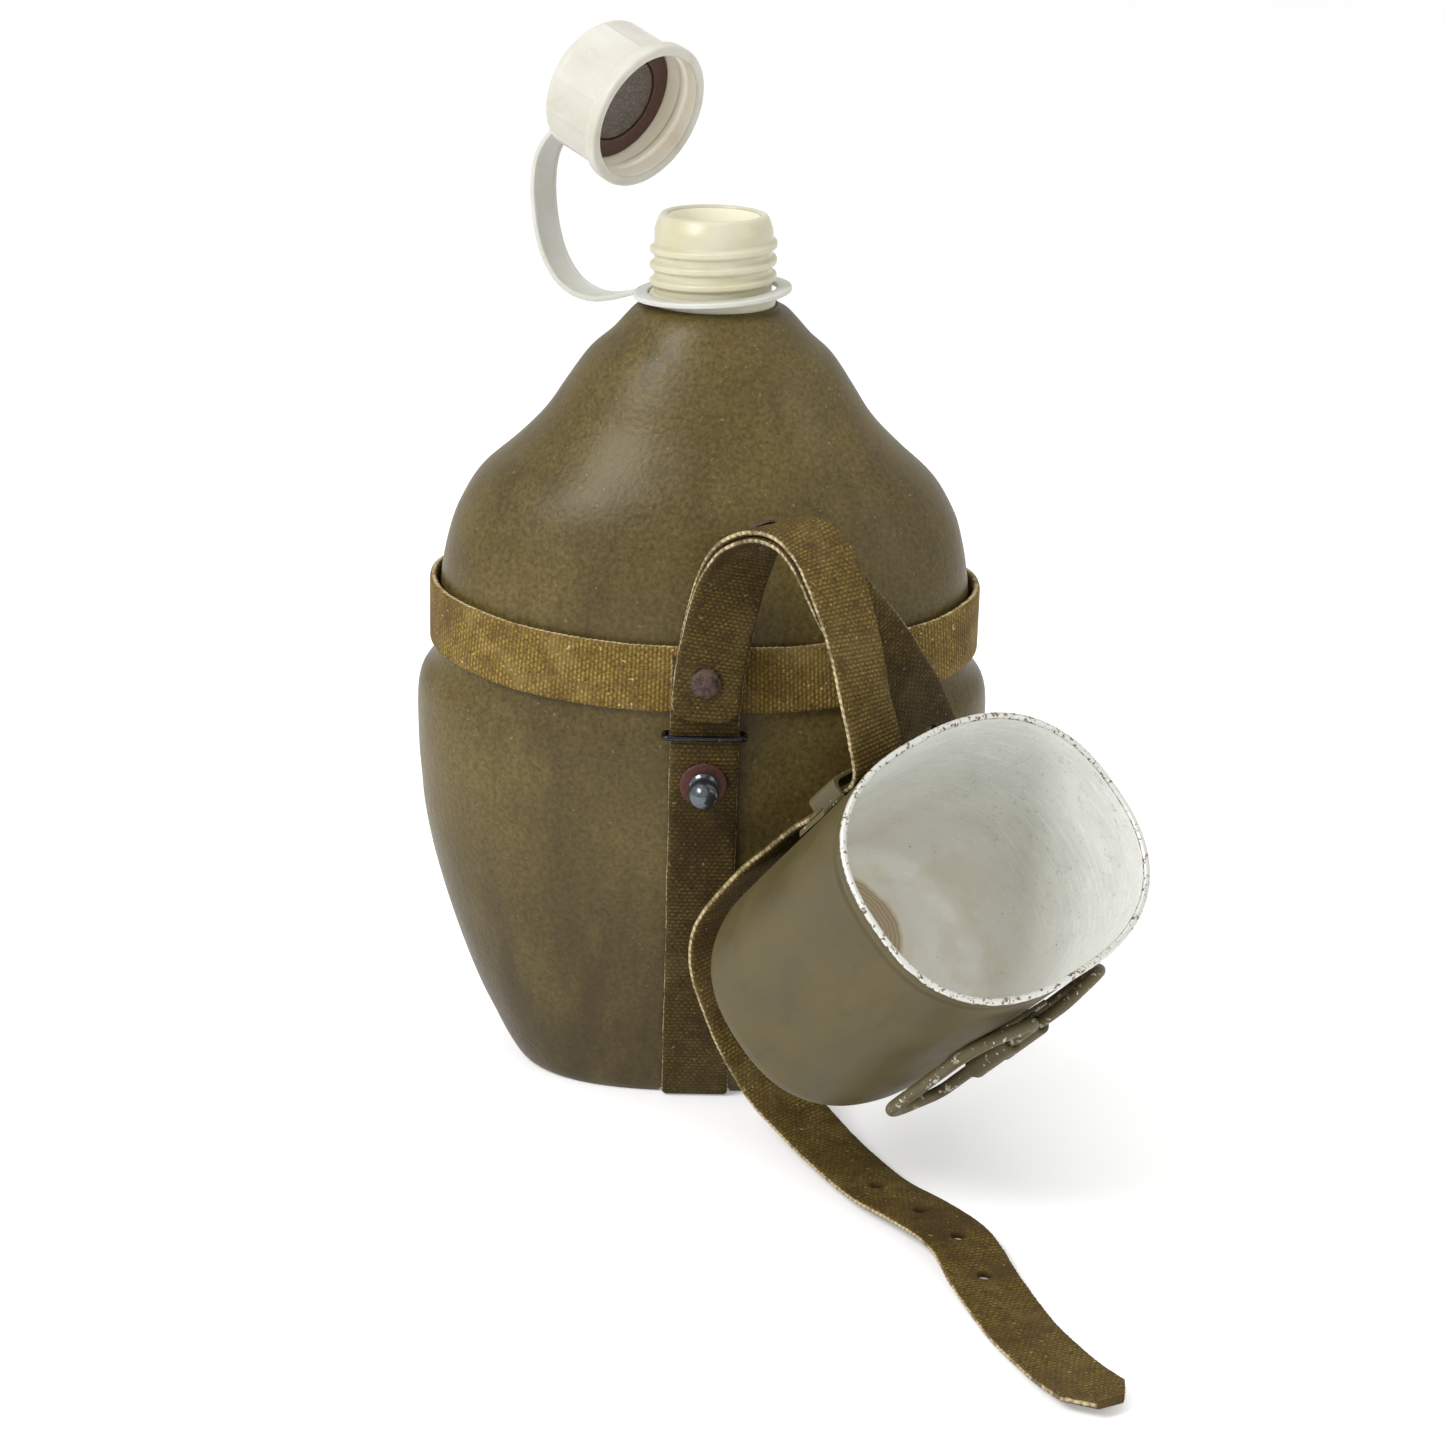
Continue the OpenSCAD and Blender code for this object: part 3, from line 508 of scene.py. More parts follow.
def bare_cup_material():
    """Matt white-grey metal with fine scratches and a tan tide mark at the bottom, with painted light that
    makes the lower inside paler.
    """
    s = Shader("cup_bare_metal")
    p = s.place()
    x, y, z = s.parts(p)
    tone = s.noise(p, 0.02, 5, 0.65, 0.5)
    base = s.tones(tone, (0.64, 0.65, 0.60), (0.76, 0.77, 0.725))
    scratch = s.noise(s.stretched(p, (1.2, 6, 14)), 0.02, 6, 0.85)
    base = s.mix(s.step(scratch, 0.56, 0.68, 0, 0.4), base, (0.80, 0.81, 0.79))
    arcs = s.noise(s.stretched(p, (1.5, 1.5, 24)), 0.014, 5, 0.8)
    base = s.mix(s.step(arcs, 0.51, 0.60, 0, 0.5), base, (0.88, 0.89, 0.88))
    hair = s.noise(s.stretched(p, (14, 2, 5)), 0.010, 5, 0.85)
    base = s.mix(s.step(hair, 0.56, 0.63, 0, 0.5), base, (0.40, 0.40, 0.37))
    # Painted light: the lower inside, which faces up, is made paler towards the floor.
    low = s.times(s.step(z, 0.046, 0.004), s.step(tone, 0.2, 0.6, 0.6, 1))
    base = s.mix(s.times(low, 0.8), base, (0.96, 0.95, 0.91))
    warm = s.times(s.step(z, 0.030, 0.004), s.step(s.noise(p, 0.012, 3, 0.6), 0.45, 0.65, 0, 0.35))
    base = s.mix(warm, base, (0.78, 0.67, 0.48))
    pits = s.step(s.noise(p, 0.0016, 1), 0.79, 0.83, 0, 0.7)
    base = s.mix(pits, base, (0.18, 0.15, 0.10))
    away = s.distance(s.math("SUBTRACT", x, STAIN_AT[0]), s.math("SUBTRACT", y, STAIN_AT[1]))
    away = s.plus(away, s.times(s.noise(p, 0.010, 3, 0.6), 0.003))
    rings = s.step(s.math("SINE", s.times(away, 2 * math.pi / 0.0012)), -0.4, 0.9)
    tan = s.mix(rings, (0.46, 0.35, 0.20), (0.33, 0.22, 0.11))
    halo = s.times(s.step(away, 0.030, 0.014, 0, 0.35), s.step(z, 0.030, 0.006))
    base = s.mix(halo, base, (0.58, 0.48, 0.32))
    stain = s.times(s.step(away, STAIN_R + 0.001, STAIN_R - 0.001, 0, 0.85), s.step(z, 0.009, 0.006))
    base = s.mix(stain, base, tan)
    base = s.mix(s.step(z, RIM_FROM, RIM_FROM + 0.001), base, (0.74, 0.75, 0.74))
    return s.finish(base, s.step(scratch, 0.3, 0.7, 0.40, 0.55), s.bump(scratch, 0.00008, 0.5),
                    Metallic=0.12, Specular_IOR_Level=0.5)


def dark_steel_material(name, dark, rusty, rust_from, rough, metallic=0.85):
    """Blackened steel with rust creeping over it."""
    s = Shader(name)
    p = s.place()
    patch = s.noise(p, 0.0022, 5, 0.75)
    rust = s.step(patch, rust_from, rust_from + 0.14)
    tone = s.noise(p, 0.0006, 3, 0.6)
    steel = s.tones(tone, dark, tuple(c * 1.6 for c in dark))
    brown = s.tones(tone, tuple(c * 0.6 for c in rusty), rusty)
    base = s.mix(rust, steel, brown)
    height = s.plus(s.times(rust, 0.8), s.times(tone, 0.5))
    return s.finish(base, s.step(rust, 0, 1, rough, 0.75), s.bump(height, 0.00010, 0.8),
                    Metallic=s.step(rust, 0, 1, metallic, 0.2))


def liner_material():
    s = Shader("liner_speckled")
    p = s.place()
    fine = s.noise(p, 0.0008, 4, 0.8)
    patch = s.noise(p, 0.008, 3, 0.6)
    base = s.ramp(fine, (0.32, (0.035, 0.026, 0.022)), (0.52, (0.085, 0.068, 0.056)),
                  (0.7, (0.17, 0.14, 0.115)))
    base = s.mix(s.step(patch, 0.4, 0.7, 0, 0.5), base, (0.10, 0.07, 0.055))
    return s.finish(base, 0.5, s.bump(fine, 0.0001, 0.7))


def rubber_material():
    s = Shader("gasket_rubber")
    p = s.place()
    fine = s.noise(p, 0.0015, 4, 0.7)
    base = s.tones(fine, (0.030, 0.010, 0.006), (0.085, 0.032, 0.020))
    return s.finish(base, s.step(fine, 0.3, 0.7, 0.42, 0.6), s.bump(fine, 0.0001, 0.6))


COVER = cover_material()
# Copies of one webbing with painted light and shade: the waist band painted lit, the cup strap a little
# shaded, the vertical strap and the belt strap painted in shade.
WEBBING = webbing_material("webbing_woven", 0.92)
WEBBING_PAINTED_LIT = webbing_material("webbing_painted_lit", 1.5)
WEBBING_PAINTED_SHADE = webbing_material("webbing_painted_shade", 0.52)
WEBBING_BELT_PAINTED_SHADE = webbing_material("webbing_belt_painted_shade", 0.6)
BOTTLE = plastic_material("bottle_plastic", (0.52, 0.505, 0.41), (0.47, 0.44, 0.285), 0.16, 0.28)
BOTTLE_INSIDE = plastic_material("bottle_inside", (0.86, 0.85, 0.72), (0.80, 0.77, 0.60), 0.05, 0.4)
MILKY = plastic_material("tether_plastic", (0.50, 0.505, 0.475), (0.45, 0.45, 0.40), 0.14, 0.32)
CAP = plastic_material("cap_plastic", (0.52, 0.51, 0.46), (0.45, 0.43, 0.36), 0.35, 0.30)
CAP_INSIDE = plastic_material("cap_inside", (0.90, 0.86, 0.77), (0.84, 0.78, 0.66), 0.15, 0.4)
PAINT = paint_material("cup_paint", (0.080, 0.063, 0.022), 0.80, (RIM_FROM, 0.0740))
FITTING_PAINT = paint_material("fitting_paint", (0.092, 0.075, 0.032), 0.66)
WIRE_PAINT = paint_material("wire_paint", (0.100, 0.082, 0.036), 0.60)
CUP_METAL = bare_cup_material()
RIVET = dark_steel_material("rivet_steel", (0.035, 0.026, 0.024), (0.105, 0.062, 0.046), 0.40, 0.42)
BALL = dark_steel_material("stud_steel", (0.085, 0.095, 0.105), (0.12, 0.06, 0.04), 0.66, 0.20)
WASHER = dark_steel_material("washer_steel", (0.060, 0.026, 0.022), (0.105, 0.028, 0.019), 0.40, 0.42, 0.5)
KEEPER = dark_steel_material("keeper_wire", (0.022, 0.022, 0.026), (0.26, 0.13, 0.09), 0.58, 0.22)
LINER = liner_material()
GASKET = rubber_material()

# ---------- bottle and cover ----------

# Cover sections from base to neck: height, half-width, half-depth, exponent of the oval
COVER_ROWS = [
    (0, 46, 32.3, 2.6), (2.5, 49.3, 34.3, 2.5), (12, 54.8, 37.2, 2.4), (25, 60.8, 40, 2.35),
    (40, 66.2, 42.4, 2.3), (55, 70.5, 44.2, 2.3), (70, 73.6, 45.3, 2.3), (85, 75.2, 45.9, 2.3),
    (98, 75.6, 46, 2.3), (107, 74.9, 45.8, 2.3), (113, 71.4, 44.8, 2.3), (119, 70.1, 44.2, 2.3),
    (128, 69.7, 43.9, 2.3), (136, 69.1, 43.5, 2.3), (145, 67.4, 42.4, 2.3), (153, 64.7, 40.8, 2.25),
    (162, 59, 38, 2.2), (170, 50.2, 34.4, 2.15), (178, 42.6, 31, 2.1), (186, 37.2, 28.4, 2.1),
    (194, 31.6, 25.6, 2.05), (199, 26, 23.4, 2), (203, 22.4, 21.6, 2), (205.6, 19.8, 19.6, 2),
    (206.6, 17.4, 17.4, 2),
]
COVER_TOP = 206.6
COVER_T = 3
BOTTLE_GAP = 0.3
BOTTLE_T = 1.6
OPENING_R = 16.4
GROOVE_HALF_W = 9.25   # groove in the base, where the strap passes under
GROOVE_DEPTH = 2.7
WAIST_Z = 122
WAIST_REACH = 34
WAIST_DIP = 6
SIDES = 192
ANGLES = round_angles(SIDES)


def power(v, e):
    return np.sign(v) * np.abs(v) ** e


def oval(z, half_w, half_d, exponent, dip=0.0, angles=ANGLES):
    c, s = np.cos(angles), np.sin(angles)
    return np.stack([half_w * power(c, 2 / exponent), half_d * power(s, 2 / exponent),
                     z - dip * s * s], 1)


def dip_at(z):
    return WAIST_DIP * max(0, 1 - ((z - WAIST_Z) / WAIST_REACH) ** 2)


def inset_row(row, d, least):
    z, w, h, e = row
    return (z + d * max(0, 1 - z / 12), max(least, w - d), max(least, h - d), e)


def body_rings(d, steps, least=1.0, top=COVER_TOP):
    """Rings of the body's skin, d inside the cover's face, from the base up to a height."""
    rows = [r for r in smooth([inset_row(r, d, least) for r in COVER_ROWS], steps) if r[0] <= top]
    first = rows[0]
    floor = [(first[0], first[1] * k, first[2] * k, first[3]) for k in (0.35, 0.75, 0.97)]
    return [oval(*r, dip_at(r[0])) for r in floor + rows]


def circle_rings(profile):
    return [oval(z, r, r, 2) for r, z in profile]


def front_depth(z):
    rows = smooth(COVER_ROWS, 2)
    return float(np.interp(z, [r[0] - dip_at(r[0]) for r in rows], [r[2] for r in rows]))


def lumpy(rings):
    """Soft unevenness of a hand-finished skin, calm where the waist band lies."""
    out = []
    for ring in rings:
        ring = ring.copy()
        for k, p in enumerate(ring):
            calm = min(1, abs(p[2] - WAIST_Z) / 24) if p[2] > 2 else 0
            push = calm * (0.30 * wobble(p, 26) + 0.14 * wobble(p, 9, 5.0))
            flat = np.hypot(p[0], p[1])
            if flat > 1:
                ring[k, :2] += p[:2] / flat * push
        out.append(ring)
    return out


def make_cover():
    outside = lumpy(body_rings(0, 6))
    lip = circle_rings([(17.1, 207.1), (16.6, 207.2), (OPENING_R, 206.8), (OPENING_R, 205.5),
                        (OPENING_R, 200)])
    inside = body_rings(COVER_T, 2, OPENING_R, 198)[::-1]
    rings = np.array(outside + lip + inside)
    groove = (np.abs(rings[:, :, 0]) < GROOVE_HALF_W) & (rings[:, :, 2] < GROOVE_DEPTH)
    rings[groove, 2] = GROOVE_DEPTH
    return put(ring_solid("cover", rings, COVER, sharp=50), "canteen", "cover_fabric", "cover")


MOUTH_Z = 230
MOUTH_R = 11.8
NECK_R = 15.2
THREAD_R = 16.3
THREAD_PITCH = 4.1
THREAD_LOW = 212.4
THREAD_TURNS = 2.85
MOUTH_RINGS = 14       # rings of the lip that face the inside of the neck


def thread_height(angles, z, low, pitch, turns, start=math.pi):
    """How much of a crest stands at each angle of a ring at height z: 0 to 1."""
    turn_at = (angles - start) / (2 * math.pi)
    best = np.zeros_like(angles)
    for k in range(-1, 5):
        t = turn_at + k
        away = np.abs(z - (low + pitch * t))
        crest = np.clip((1.55 - away) / 1.1, 0, 1)
        crest = crest * crest * (3 - 2 * crest)
        fade = np.clip((t + 0.12) / 0.12, 0, 1) * np.clip((turns - t) / 0.15, 0, 1)
        best = np.maximum(best, crest * fade)
    return best


def make_bottle():
    skin = COVER_T + BOTTLE_GAP
    rings = body_rings(skin, 3, 16.2, 203)
    rings += circle_rings([(16.3, 204.6), (16.25, 206), (16.2, 209.3), (15.7, 209.9)])
    for z in np.arange(210, 225.6, 0.22):
        crest = thread_height(ANGLES, z, THREAD_LOW, THREAD_PITCH, THREAD_TURNS)
        r = NECK_R + (THREAD_R - NECK_R) * crest
        rings.append(np.stack([r * np.cos(ANGLES), r * np.sin(ANGLES), np.full(SIDES, z)], 1))
    lip = fillet([(NECK_R, 225.8), (14.9, 227), (14.2, 228.9), (13.5, MOUTH_Z), (12.1, MOUTH_Z),
                  (MOUTH_R, 229.2), (MOUTH_R, 203.5), (12.6, 202), (15, 201)], 0.7)
    rings += circle_rings(lip)
    first_inside = len(rings) - MOUTH_RINGS
    rings += body_rings(skin + BOTTLE_T, 2, 1, 199)[::-1]
    obj = ring_solid("bottle", rings, [BOTTLE, BOTTLE_INSIDE], inner_from=first_inside, sharp=55)
    return put(obj, "canteen", "bottle_plastic", "bottle")


# ---------- webbing ----------

STRAP_W = 17.5
STRAP_T = 2
WEB_STEP = 0.8       # distance between a strap's sections
SELVEDGE = 1.1       # width of the uneven edge
ACROSS = 16          # points across each face of a strap


def strap_section(half_w, half_t):
    """Points round a strap's section, its edges rounded: across, up."""
    edge = half_t * 0.95
    flat = np.linspace(-half_w + edge, half_w - edge, ACROSS)
    top = [(u, half_t * (1 - 0.05 * (u / half_w) ** 8)) for u in flat]
    arc = [(half_w - edge + edge * math.cos(a), half_t * 0.97 * math.sin(a))
           for a in np.radians((60, 30, 0, -30, -60))]
    under = [(u, -h) for u, h in top[::-1]]
    back = [(-u, -h) for u, h in arc]
    return np.array(top + arc + under + back)


def no_taper(s, length):
    return 1.0


def corner_taper(radius_start, radius_end):
    """Width share near rounded ends."""
    def share(s, length):
        out = 1.0
        for d, r in ((s, radius_start), (length - s, radius_end)):
            if r and d < r:
                out = min(out, 1 - (r - math.sqrt(max(0, r * r - (r - d) ** 2))) / (STRAP_W / 2))
        return out
    return share


def tip_taper(reach, least):
    """Width share of a chamfered tip."""
    def share(s, length):
        d = length - s
        return 1.0 if d > reach else least + (1 - least) * d / reach
    return share


def ribbon(name, points, sides, material=WEBBING, share=no_taper, seed=0.0, loop=False):
    """A strap along points with side directions, in millimetres, with a scalloped selvedge."""
    p, q, at = resample(np.asarray(points, float), WEB_STEP, np.asarray(sides, float))
    if loop:
        p, q, at = p[:-1], q[:-1], at[:-1]
    t = tangents(p, closed=loop)
    q = unit(q - (q * t).sum(1, keepdims=True) * t)
    n = unit(np.cross(t, q))
    half_t = STRAP_T / 2
    section = strap_section(STRAP_W / 2, half_t)
    length = at[-1]
    rings, uvs = [], []
    for i in range(len(p)):
        k = share(at[i], length)
        phase = 2 * math.pi * at[i] / SCALLOP
        rough = 0.16 * wobble((at[i], 3, 0), 1.1, seed)
        drift = 0.22 * wobble((at[i], 0, 0), 14, seed + 7)
        u = section[:, 0] * k
        h = section[:, 1].copy()
        rim = np.clip((np.abs(section[:, 0]) - STRAP_W / 2 + SELVEDGE) / SELVEDGE, 0, 1)
        side_sign = np.sign(section[:, 0])
        u = u + side_sign * rim * (0.13 * math.sin(phase) + rough) + drift
        h = h * (1 - 0.16 * rim * (1 + math.sin(phase + 1.3)) / 2)
        h = h + 0.10 * wobble((at[i], 9, 0), 8, seed) * rim
        rings.append(p[i] + np.outer(u, q[i]) + np.outer(h, n[i]))
        uvs.append(np.stack([section[:, 0] * MM, np.full(len(section), at[i] * MM)], 1))
    uv = np.vstack(uvs)
    if not loop:
        uv = np.vstack([uv, uvs[0].mean(0), uvs[-1].mean(0)])
    return ring_solid(name, rings, material, close_along=loop, uvs=uv, sharp=70)


BAND_Z = 125.7
BAND_A = 72.4
BAND_B = 46.6
BAND_EXPONENT = 2.3


def make_waist_band():
    around = np.linspace(0, 2 * math.pi, 721)
    middle = oval(BAND_Z, BAND_A - STRAP_T / 2, BAND_B - STRAP_T / 2, BAND_EXPONENT, WAIST_DIP, around)
    up = np.tile([0.0, 0.0, 1.0], (len(middle), 1))
    # The band takes the webbing copy with painted light.
    obj = ribbon("waist_band", middle, up, WEBBING_PAINTED_LIT, seed=1.5, loop=True)
    return put(obj, "canteen", "webbing", "waist_band")


UPRIGHT_Y = 49.1


def make_vertical_strap():
    """Down the front from the band, under the base and up the back."""
    half = [(0, -48, 126), (0, -48, 115.8)]
    half += [(0, -UPRIGHT_Y, z) for z in (110.8, 106, 98)]
    half += [(0, -front_depth(z) - STRAP_T / 2 - BOTTLE_GAP, z) for z in (88, 76, 62, 48, 34, 20, 10)]
    half += [(0, -36.3, 4.5), (0, -35.6, 2.7), (0, -35, 1.5), (0, -33.8, 1.1)]
    half += [(0, -30, 1.08), (0, -15, 1.08), (0, 0, 1.08)]
    other = [(0, -y, z) for x, y, z in half[-2::-1]]
    route = smooth(half + other, 6)
    # The strap takes the webbing copy with painted shade.
    obj = ribbon("vertical_strap", route, np.tile([1.0, 0, 0], (len(route), 1)), WEBBING_PAINTED_SHADE, seed=4.1)
    return put(obj, "canteen", "webbing", "vertical_strap")


# The cup's place: its bottom's centre, and its turn about X, then Y, then Z
CUP_BASE = (37, -69, 49)
CUP_PLACE = move(*CUP_BASE) @ turn(45, "Z") @ turn(-8.5, "Y") @ turn(46, "X")
BRIDGE_Z = 45
STRAP_OFF = 34.8


def cup_at(x, y, z):
    return tuple((CUP_PLACE @ Vector((x * MM, y * MM, z * MM))) / MM)


CUP_SIDE = tuple(CUP_PLACE.to_3x3() @ Vector((1, 0, 0)))

# Cup strap: from the front rivet over the arch, under the cup's bridge, round the cup's foot and along
# the ground to its tip. Each row is a point and the strap's side direction there.
CUP_ROUTE = [
    (0, -51.5, 111.5, 1, 0, 0), (0.5, -51.4, 120, 1, 0, 0), (1.6, -51.6, 129, 1, 0, 0),
    (3.6, -53, 141, 1, 0.08, 0.03), (5.6, -55, 150, 0.96, 0.25, 0),
    (9, -58, 158.6, 0.88, 0.45, 0), (15, -62.4, 164.4, 0.78, 0.62, 0.03),
    (21, -67, 165.2, 0.75, 0.65, 0.05), (26.4, -71, 161.4, 0.77, 0.62, 0.08),
    (30.2, -75, 154.6, 0.78, 0.61, 0.05), (33.4, -78.6, 146, 0.76, 0.64, -0.05),
    (35.8, -82, 137, 0.74, 0.66, -0.12), (37.8, -84.6, 128, 0.7, 0.7, -0.08),
    (39.8, -86.2, 120.4, 0.7, 0.7, 0),
    (*cup_at(0, STRAP_OFF, BRIDGE_Z + 10), *CUP_SIDE), (*cup_at(0, STRAP_OFF, BRIDGE_Z), *CUP_SIDE),
    (*cup_at(0, STRAP_OFF, BRIDGE_Z - 10), *CUP_SIDE),
    (*cup_at(0, STRAP_OFF + 1.2, BRIDGE_Z - 19), *CUP_SIDE), (21, -62.4, 83.4, 0.7, 0.69, 0.15),
    (14.6, -59, 75.6, 0.7, 0.68, 0.14), (8.6, -56, 66.4, 0.72, 0.68, 0.12),
    (4.9, -54.4, 58.6, 0.74, 0.66, 0.1), (4, -53.6, 51, 0.76, 0.64, 0.08),
    (5.6, -53.2, 42.4, 0.78, 0.62, 0.06), (10.4, -53.4, 30, 0.82, 0.57, 0.04),
    (15.9, -55.4, 20, 0.86, 0.5, 0.02), (21.8, -59.6, 12.4, 0.9, 0.43, 0),
    (28, -66.4, 7.6, 0.92, 0.39, 0), (35, -77, 4.6, 0.92, 0.39, 0),
    (45, -95, 3.4, 0.88, 0.46, 0), (55, -109, 4, 0.8, 0.6, 0),
    (63, -123, 4.4, 0.86, 0.5, 0), (68, -139, 2.4, 0.92, 0.38, 0),
    (74, -160, 1.4, 0.92, 0.4, 0), (82, -181, 2.4, 0.88, 0.46, 0),
    (90.5, -198, 4, 0.88, 0.46, 0),
]
ROUTE_STEPS = 12
ROUTE, ROUTE_SIDES = np.hsplit(smooth(CUP_ROUTE, ROUTE_STEPS), 2)
BRIDGE_STATION = 15
BELT_STATION = 8
LAYER = STRAP_T + 0.3    # distance between the middles of two straps that lie on each other
HOLE_R = 2


def route_frame(index):
    """Middle, side and face normal of the cup strap at an index of ROUTE."""
    t = unit(ROUTE[min(index + 1, len(ROUTE) - 1)] - ROUTE[max(index - 1, 0)])
    s = unit(ROUTE_SIDES[index] - np.dot(ROUTE_SIDES[index], t) * t)
    return ROUTE[index], s, unit(np.cross(t, s))


def hole_cutter(middle, normal):
    return lathe("cutter", [(HOLE_R, -5), (HOLE_R, 5)], WEBBING, sides=24, place=along(middle, normal))


def make_cup_strap():
    split = BRIDGE_STATION * ROUTE_STEPS
    upper = ribbon("cup_strap_over_arch", ROUTE[: split + 1], ROUTE_SIDES[: split + 1],
                   share=corner_taper(3.5, 0), seed=2.2)
    put_across(upper, "canteen", "strap_hang", (10, -58, 160), (30, -75, 155), "webbing",
               "cup_strap_upper")
    lower = ribbon("cup_strap_to_tip", ROUTE[split:], ROUTE_SIDES[split:], share=tip_taper(7, 0.42),
                   seed=8.3)
    holes = []
    for k in range(4):
        middle, side, normal = route_frame(len(ROUTE) - 1 - (3 + k) * ROUTE_STEPS)
        holes.append(hole_cutter(middle, normal))
    cut(lower, holes)
    put_across(lower, "strap_hang", "strap_tail", (22, -60, 12), (36, -78, 5), "webbing",
               "cup_strap_middle", "cup_strap_tail")


BELT_ROUTE = [
    (29.2, -71.4, 154, 0.8, 0.58, 0.1), (34, -70.6, 146.4, 0.86, 0.46, 0.18),
    (42, -64.6, 135, 0.87, 0.4, 0.27), (48, -59.5, 125.4, 0.82, 0.5, 0.27),
    (52.6, -54, 117, 0.78, 0.57, 0.25), (56.4, -48.8, 108.6, 0.78, 0.6, 0.17),
    (59.6, -44.6, 100, 0.78, 0.62, 0.1),
]


def make_belt_strap():
    """Under the cup strap as far as the arch's far side, then down behind the cup."""
    last = BELT_STATION * ROUTE_STEPS
    frames = [route_frame(i) for i in range(last + 1)]
    shared = np.array([m - LAYER * n for m, s, n in frames])
    shared_sides = np.array([s for m, s, n in frames])
    stations = [(*shared[-1], *shared_sides[-1])] + BELT_ROUTE
    flap, flap_sides = np.hsplit(smooth(stations, ROUTE_STEPS), 2)
    points = np.vstack([shared, flap[1:]])
    sides = np.vstack([shared_sides, flap_sides[1:]])
    near, before, after = (slice(last - 8 + k, last + 9 + k) for k in (0, -1, 1))
    for i in range(8):
        points[near] = (points[before] + 2 * points[near] + points[after]) / 4
    # The belt strap takes the webbing copy with painted shade.
    obj = ribbon("belt_strap", points, sides, WEBBING_BELT_PAINTED_SHADE, share=corner_taper(4.5, 4), seed=5.7)
    at = len(points) - 1 - ROUTE_STEPS
    t = unit(points[at + 1] - points[at - 1])
    cut(obj, [hole_cutter(points[at], np.cross(t, sides[at]))])
    return put_across(obj, "canteen", "belt_flap", (20, -66, 160), (34, -71, 158), "webbing",
                      "belt_strap_fixed", "belt_strap_flap")


# ---------- rivets, studs and keepers ----------

RIVET_Z = 122
RIVET_R = 3.9
RIVET_H = 1.9
SHAFT_R = 1.5
ARCH_RIVET_AT = 17 * ROUTE_STEPS // 3
STUD_Z = 93.3
STUD_TILT = 6
TONGUE_Y = 51.5 + LAYER + STRAP_T / 2 + 0.15    # outer face of the strap's end under the rivet
BACK_STRAP_Y = 49.15


def dented(amount, scale, seed):
    """A radius function that makes a lathe's rings uneven."""
    def change(r, z, angles):
        return np.array([r * (1 + amount * wobble((r * math.cos(a), r * math.sin(a), z), scale, seed))
                         for a in angles])
    return change


def rivet(name, place, radius, height, shaft, shaft_r, seed, material=RIVET):
    """A domed, slightly hammered head on a shaft that runs down from its seat."""
    dome = [(radius * math.cos(a) ** 0.9, height * (0.22 + 0.78 * math.sin(a)))
            for a in np.radians(np.linspace(0, 86, 12))]
    profile = [(shaft_r, -shaft), (shaft_r, 0), (radius * 0.92, 0.0), (radius, height * 0.1)] + dome
    return lathe(name, profile, material, sides=64, radius=dented(0.09, 1.4, seed), place=place)


def make_rivets():
    for s, side, y, shaft in ((-1, "front", TONGUE_Y, 9.2), (1, "back", BACK_STRAP_Y, 4.2)):
        head = rivet(side + "_rivet", move(0, s * y, RIVET_Z) @ turn(-s * 90, "X"), RIVET_R, RIVET_H, shaft,
                     SHAFT_R, 1.5 + s / 2)
        put(head, "canteen", "harness_metal", side + "_rivet")
    middle, side, normal = route_frame(ARCH_RIVET_AT)
    outer = rivet("arch_rivet_head", along(middle + normal * (STRAP_T / 2), normal), 3.4, 1.4,
                  LAYER + STRAP_T, SHAFT_R, 3.0)
    put(outer, "canteen", "harness_metal", "arch_rivet")
    inner = rivet("arch_rivet_tail", along(middle - normal * (LAYER + STRAP_T / 2), -normal), 2.6, 1.1,
                  0.3, SHAFT_R, 4.0)
    put(inner, "canteen", "harness_metal")


def stud_place(s):
    face = UPRIGHT_Y + STRAP_T / 2 - 0.5 + 1.1
    tilt = -90 - STUD_TILT if s > 0 else 90 + STUD_TILT
    return move(0, s * face, STUD_Z) @ turn(tilt, "X")


def make_studs():
    for s, side in ((-1, "front"), (1, "back")):
        neck = [(1.5, -3.6), (1.5, 0), (3.6, 0), (3.7, 0.5), (3.1, 1.1), (2.7, 1.6), (2.8, 2.2),
                (3.2, 2.6), (3.2, 3.1), (2.9, 3.5)]
        ball = [(4 * math.cos(a), 5.2 + 4 * math.sin(a)) for a in np.radians(np.linspace(-38, 87, 26))]
        profile = list(fillet(neck, 0.35, 3)) + ball
        stud = lathe(side + "_stud", profile, BALL, sides=72, radius=dented(0.012, 2.2, s),
                     place=stud_place(s))
        put(stud, "canteen", "harness_metal", side + "_stud")
        disc = fillet([(1.6, -0.8), (5.6, -0.8), (6.0, -0.5), (6.0, -0.25), (5.7, 0), (2.4, 0.02),
                       (1.6, 0.02)], 0.3)
        washer = lathe(side + "_stud_washer", disc, WASHER, sides=72, radius=dented(0.02, 3.0, s + 4),
                       place=stud_place(s), close_along=True)
        put(washer, "canteen", "washer_metal", side + "_stud_washer")


KEEPER_Z = 106
KEEPER_HALF_W = STRAP_W / 2 + 1.5
KEEPER_R = 0.75


def make_keepers():
    near = UPRIGHT_Y - STRAP_T / 2 - KEEPER_R - 0.4
    far = UPRIGHT_Y + STRAP_T / 2 + KEEPER_R + 0.4
    for s, side in ((-1, "front"), (1, "back")):
        w = KEEPER_HALF_W
        corners = [(x, s * y, KEEPER_Z) for x, y in ((-w, near), (w, near), (w, far), (-w, far))]
        loop = wire_loop(side + "_keeper", rounded_loop(corners, 1.3), KEEPER_R, KEEPER)
        put(loop, "keeper_" + side, "keeper_wire", side + "_keeper")


# ---------- cap and tether ----------

